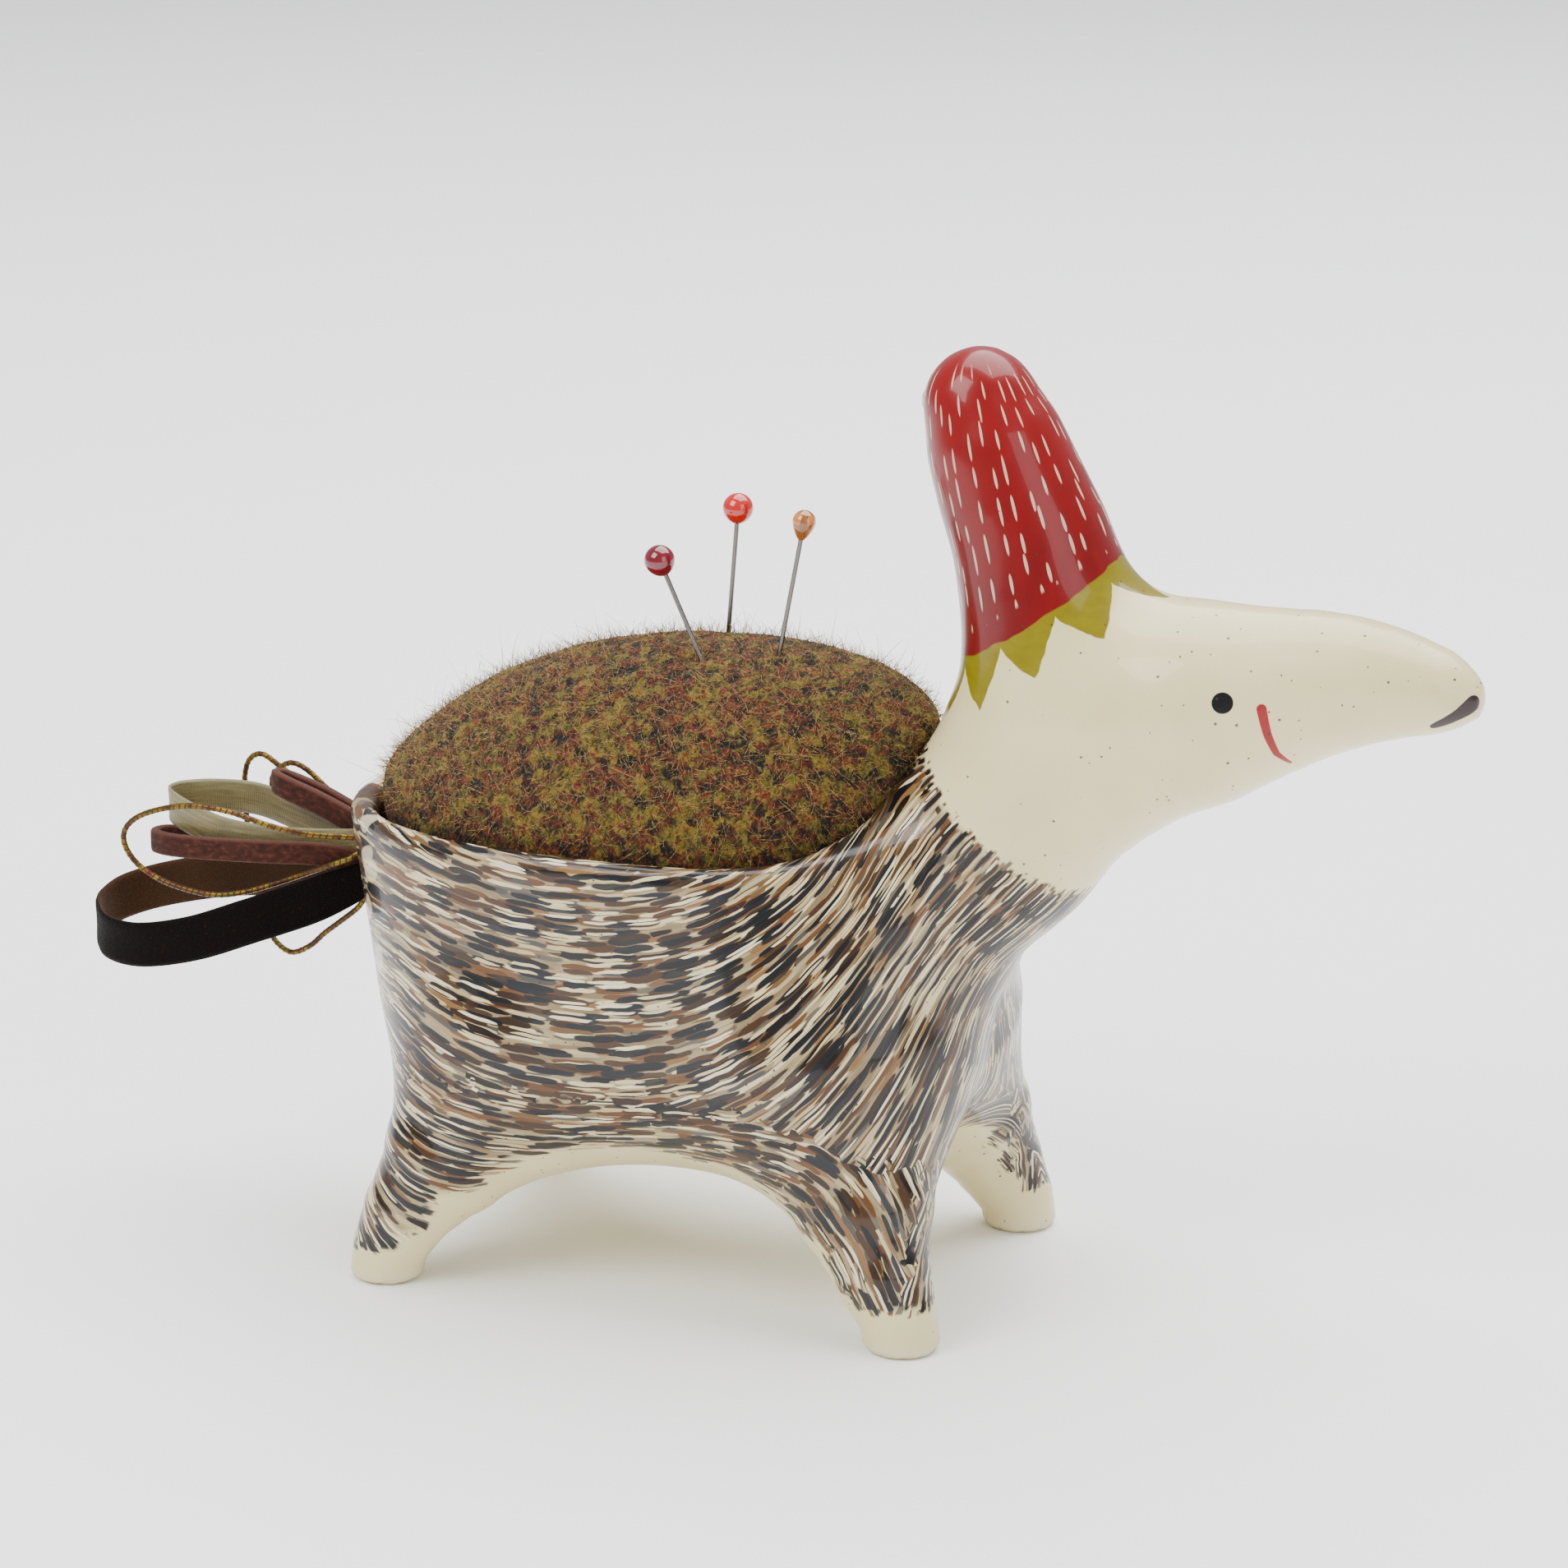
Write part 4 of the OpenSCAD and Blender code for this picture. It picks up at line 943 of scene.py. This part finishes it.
ridge = np.cos(diagonal[0] * 2 * math.pi / 2.4) * np.cos(diagonal[1] * 2 * math.pi / 2.1)
luck = np.random.default_rng(7)
fluff = luck.normal(0, 1, len(pad_places))
lift = 0.10 * ridge + 0.045 * fluff - 0.05
for entry in PIN_ENTRIES:
    lift -= 0.45 * np.exp(-((pad_places - np.array(entry)) ** 2).sum(axis=1) / 2.2)
lift = np.where(pad_places[:, 2] < 60, np.minimum(lift, -0.05), lift)
move_vertices(pad.data, (pad_places + lift[:, None] * pad_normals) * MM)
pad.data.polygons.foreach_set("use_smooth", [True] * len(pad.data.polygons))
lay_map(pad.data, "cloth_map", cloth_uv)

# The yarn colours of one tweed, with painted shade in the hollows of its fluff: shared by the cloth and by
# the wool standing off it
tweed_yarn, r, given, out = new_group("tweed yarn", [("Vector", "Place", (0, 0, 0))],
                                      [("Color", "Colour"), ("Float", "Height")])
drift = r.vector("SUBTRACT", r.noise(given["Place"], 0.9, 3.0, output=1), (0.5, 0.5, 0.5))
felted = r.vector("ADD", given["Place"], r.scaled(drift, (1.9, 1.9, 1.9)))
knots = r.node("TexVoronoi")
knots.inputs["Scale"].default_value = 0.62
knots.inputs["Randomness"].default_value = 0.8
r.feed(knots.inputs["Vector"], felted)
yarn_pick = r.split(knots.outputs["Color"])[0]
fx, fy, fz = r.split(felted)[0:3]
bias = r.math("SINE", r.math("MULTIPLY", r.math("ADD", fx, r.math("MULTIPLY", fz, 0.7)), 2.1))
crossing = r.math("SUBTRACT", r.math("MULTIPLY", fx, 0.5), r.math("ADD", fz, fy))
cross_bias = r.math("SINE", r.math("MULTIPLY", crossing, 1.5))
woven = r.math("MULTIPLY", r.math("ADD", bias, cross_bias), 0.11)
patches = r.math("MULTIPLY_ADD", r.noise(given["Place"], 0.16, 2.0), 0.6, -0.3)
yarn = r.math("ADD", r.math("MULTIPLY_ADD", yarn_pick, 0.66, 0.17), r.math("ADD", woven, patches))
yarn_and_shade_tone = r.palette(yarn, [(0.02, tone(10, 7, 4)), (0.22, tone(24, 17, 8)), (0.36, tone(84, 28, 12)),
                             (0.46, tone(108, 52, 16)), (0.56, tone(54, 48, 14)), (0.68, tone(100, 88, 20)),
                             (0.84, tone(128, 104, 26)), (0.97, tone(110, 40, 18))])
red_fleck = r.ramp(r.noise(given["Place"], 0.8, 2.0), 0.66, 0.72)
yarn_and_shade_tone = r.tint(r.math("MULTIPLY", red_fleck, 0.7), yarn_and_shade_tone, tone(122, 20, 14))
fluff_height = r.noise(r.scaled(felted, (2.3, 2.3, 1.6)), 1.0, 5.0)
# paler where the fluff stands highest
yarn_and_shade_tone = r.tint(r.ramp(fluff_height, 0.52, 0.72, 0.0, 0.55), yarn_and_shade_tone, tone(150, 126, 62))
# painted shade: the low hollows of the fluff are tinted near black
yarn_and_shade_tone = r.tint(r.ramp(fluff_height, 0.5, 0.34, 0.0, 0.8), yarn_and_shade_tone, tone(9, 6, 4))
r.feed(out["Colour"], yarn_and_shade_tone)
r.feed(out["Height"], r.math("ADD", fluff_height, r.math("MULTIPLY", woven, 0.8)))

tweed, r, shader = new_material("tweed")
wool = use_group(r, tweed_yarn, Place=r.place())
r.feed(shader.inputs["Base Color"], wool["Colour"])
r.feed(shader.inputs["Roughness"], r.ramp(wool["Height"], 0.2, 0.9, 0.98, 0.86))
shader.inputs["Sheen Weight"].default_value = 0.08
shader.inputs["Sheen Roughness"].default_value = 0.6
shader.inputs["Specular IOR Level"].default_value = 0.15
r.feed(shader.inputs["Normal"], r.bump(wool["Height"], 1.0, 0.0011))
pad.data.materials.append(tweed)
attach(pad, "bowl")
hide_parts("pad_cover")

# Loose wool standing off the cloth: short bent fibres, each a thin three-sided spike
FIBRES, LONG_SHARE, WOOL_FROM = 11500, 0.04, 61.5
top = np.nonzero(pad_places[:, 2] > WOOL_FROM)[0]
roots = luck.choice(top, FIBRES)
root, up = vertex_places(pad.data)[roots] / MM, mesh_normals(pad.data)[roots]
sweep = luck.normal(0, 1, (FIBRES, 3))
sweep -= (sweep * up).sum(axis=1)[:, None] * up
sweep /= np.linalg.norm(sweep, axis=1)[:, None]
fibre_length = np.where(luck.random(FIBRES) < LONG_SHARE, luck.uniform(2.8, 6.0, FIBRES),
                        luck.uniform(0.8, 2.4, FIBRES))
lean = luck.uniform(0.35, 1.3, FIBRES)
curl = luck.normal(0, 0.62, (FIBRES, 3))
thick = luck.uniform(0.026, 0.046, FIBRES)
side = np.cross(up, sweep)
spines = []
for share in (0.0, 0.35, 0.7, 1.0):
    rise = np.sin(share * 1.5) * np.cos(lean) - 0.05
    run = share * np.sin(lean) + 0.25 * share * share
    bent = rise[:, None] * up + run[:, None] * sweep + (share * share * 0.5) * curl
    spines.append(root + fibre_length[:, None] * bent)
rings = []
for level, wide in zip(spines[:3], (1.0, 0.9, 0.6)):
    for k in range(3):
        angle = 2 * math.pi * k / 3
        rings.append(level + (thick * wide)[:, None] * (math.cos(angle) * sweep + math.sin(angle) * side))
fibre_places = np.stack(rings + [spines[3]], axis=1)
pattern = [(2, 1, 0)]
for level in (0, 3):
    pattern += [(level + k, level + (k + 1) % 3, level + 3 + (k + 1) % 3, level + 3 + k) for k in range(3)]
pattern += [(6 + k, 6 + (k + 1) % 3, 9) for k in range(3)]
fibre_faces = [tuple(10 * i + v for v in face) for i in range(FIBRES) for face in pattern]
wool_fibres = new_object("wool_fibres", fibre_places.reshape(-1, 3) * MM, fibre_faces)
fibre_uv = np.repeat(cloth_uv[roots] + luck.normal(0, 1.2, (FIBRES, 2)), 10, axis=0)
lay_map(wool_fibres.data, "cloth_map", fibre_uv)
face_outward(wool_fibres)
hair, r, shader = new_material("wool_fibre")
strand = r.place()
wool = use_group(r, tweed_yarn, Place=strand)
pale = r.ramp(r.noise(strand, 3.1, 1.0), 0.42, 0.62, 0.1, 0.8)
r.feed(shader.inputs["Base Color"], r.tint(pale, wool["Colour"], tone(186, 150, 84)))
r.feed(shader.inputs["Roughness"], r.ramp(pale, 0.1, 0.8, 0.8, 0.6))
shader.inputs["Sheen Weight"].default_value = 0.1
shader.inputs["Specular IOR Level"].default_value = 0.2
wool_fibres.data.materials.append(hair)
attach(wool_fibres, "bowl")

# --- Hidden pieces --------------------------------------------------------------
# Stuffing packed on a round of card, the thread that gathers the tweed beneath it, the
# bead of glue that holds the whole to the floor of the bowl, and the thread whipped round
# the ends of the tail inside the hole.
def finish_node(name, material):
    for slot in nodes_3d[name].material_slots:
        slot.material = material


def plain_fibre(name, pale, dark, scale, roughness):
    """Matt fibrous stuff: two tones mixed by a stretched noise that also roughens it."""
    material, r, shader = new_material(name)
    fibre = r.noise(r.scaled(r.place(), scale), 1.0, 4.0)
    r.feed(shader.inputs["Base Color"], r.tint(fibre, dark, pale))
    r.feed(shader.inputs["Roughness"], r.ramp(fibre, 0.2, 0.8, roughness, roughness - 0.15))
    r.feed(shader.inputs["Normal"], r.bump(fibre, 0.6, 0.0006))
    return material


for node, made_of, pale, dark, scale, roughness in (
        ("pad_stuffing", "stuffing", (236, 232, 222), (206, 200, 188), (0.5, 0.5, 0.9), 0.98),
        ("base_card", "card", (176, 152, 118), (146, 122, 92), (1.2, 1.2, 4.0), 0.95),
        ("gather_thread", "thread", (64, 48, 34), (40, 30, 22), (3.0, 3.0, 3.0), 0.9),
        ("glue_bead", "glue", (224, 214, 184), (196, 182, 146), (0.4, 0.4, 0.4), 0.4),
        ("tail_whipping", "whipping_thread", (110, 88, 60), (62, 46, 32), (4.0, 0.8, 0.8), 0.9)):
    finish_node(node, plain_fibre(made_of, tone(*pale), tone(*dark), scale, roughness))

# --- Pins -----------------------------------------------------------------------
# Three dressmaking pins of drawn steel wire, two with a glass ball melted on as a head
# and one with a small amber drop. They slide in and out of the pad along their shafts.
steel, r, shader = new_material("pin_steel")
drawn_marks = r.noise(r.scaled(r.place(), (6.0, 6.0, 0.4)), 1.0, 3.0)
r.feed(shader.inputs["Base Color"], r.tint(drawn_marks, tone(84, 82, 80), tone(138, 134, 130)))
r.feed(shader.inputs["Roughness"], r.ramp(drawn_marks, 0.2, 0.8, 0.22, 0.4))
shader.inputs["Metallic"].default_value = 1.0
for name in ("pin_1_shaft", "pin_2_shaft", "pin_3_shaft"):
    finish_node(name, steel)


def glass(name, deep, bright, clear):
    """Coloured glass with a slightly streaked melt; clear is how much light it passes."""
    material, r, shader = new_material(name)
    streak = r.noise(r.scaled(r.place(), (0.6, 0.6, 1.2)), 1.0, 3.0)
    r.feed(shader.inputs["Base Color"], r.tint(streak, deep, bright))
    r.feed(shader.inputs["Roughness"], r.ramp(streak, 0.2, 0.8, 0.03, 0.09))
    shader.inputs["Transmission Weight"].default_value = clear
    shader.inputs["IOR"].default_value = 1.5
    shader.inputs["Coat Weight"].default_value = 0.6
    return material


# Pin, lean in degrees, length from the cloth to the head's middle, head width, how much the
# head draws out below and narrows to the wire, its glass, its two tones, light it passes
BALL, DROP = (1.04, 0.12), (1.75, 0.38)
PINS = [(1, -24.6, 13.2, 4.0, BALL, "dark_red_glass", (92, 6, 22), (142, 14, 36), 0.25),
        (2, 4.8, 16.7, 4.0, BALL, "red_glass", (178, 16, 12), (214, 34, 22), 0.15),
        (3, 10.9, 18.0, 3.0, DROP, "amber_glass", (176, 84, 22), (226, 150, 74), 0.7)]
for pin, entry in zip(PINS, PIN_ENTRIES):
    number, lean, reach, width, (drawn_out, narrowing), melt, deep, bright, clear = pin
    clear_selection()
    bpy.ops.mesh.primitive_uv_sphere_add(segments=40, ring_count=24, radius=width / 2 * MM)
    head = bpy.context.object
    head.name = "pin_%d_glass" % number
    # the melt draws in to a small collar round the wire
    places = vertex_places(head.data) / MM
    low = np.clip(-places[:, 2] / (width / 2), 0, 1)
    places[:, :2] *= (1 - narrowing * low ** 1.5)[:, None]
    places[:, 2] *= np.where(places[:, 2] < 0, drawn_out, 1.0)
    move_vertices(head.data, places * MM)
    angle = math.radians(lean)
    head.rotation_euler = (0, angle, 0)
    head.location = (Vector(entry) + Vector((math.sin(angle), 0, math.cos(angle))) * reach) * MM
    pick(head)
    bpy.ops.object.transform_apply(location=True, rotation=True, scale=True)
    head.data.polygons.foreach_set("use_smooth", [True] * len(head.data.polygons))
    head.data.materials.append(glass(melt, tone(*deep), tone(*bright), clear))
    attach(head, "pin_%d" % number)
    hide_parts("pin_%d_head" % number)

# --- Table ----------------------------------------------------------------------
# A plain pale sheet of paper under and behind the pin cushion, with a faint grain. It
# takes the shadow and isn't part of the object.
clear_selection()
bpy.ops.mesh.primitive_plane_add(size=9)
table = bpy.context.object
table.name = "table"
table_paper, r, shader = new_material("table_paper")
paper_grain = r.noise(r.node("TexCoord").outputs["Object"], 40.0, 3.0)
r.feed(shader.inputs["Base Color"], r.tint(paper_grain, (0.93, 0.935, 0.94, 1), (0.95, 0.955, 0.96, 1)))
shader.inputs["Roughness"].default_value = 0.7
table.data.materials.append(table_paper)
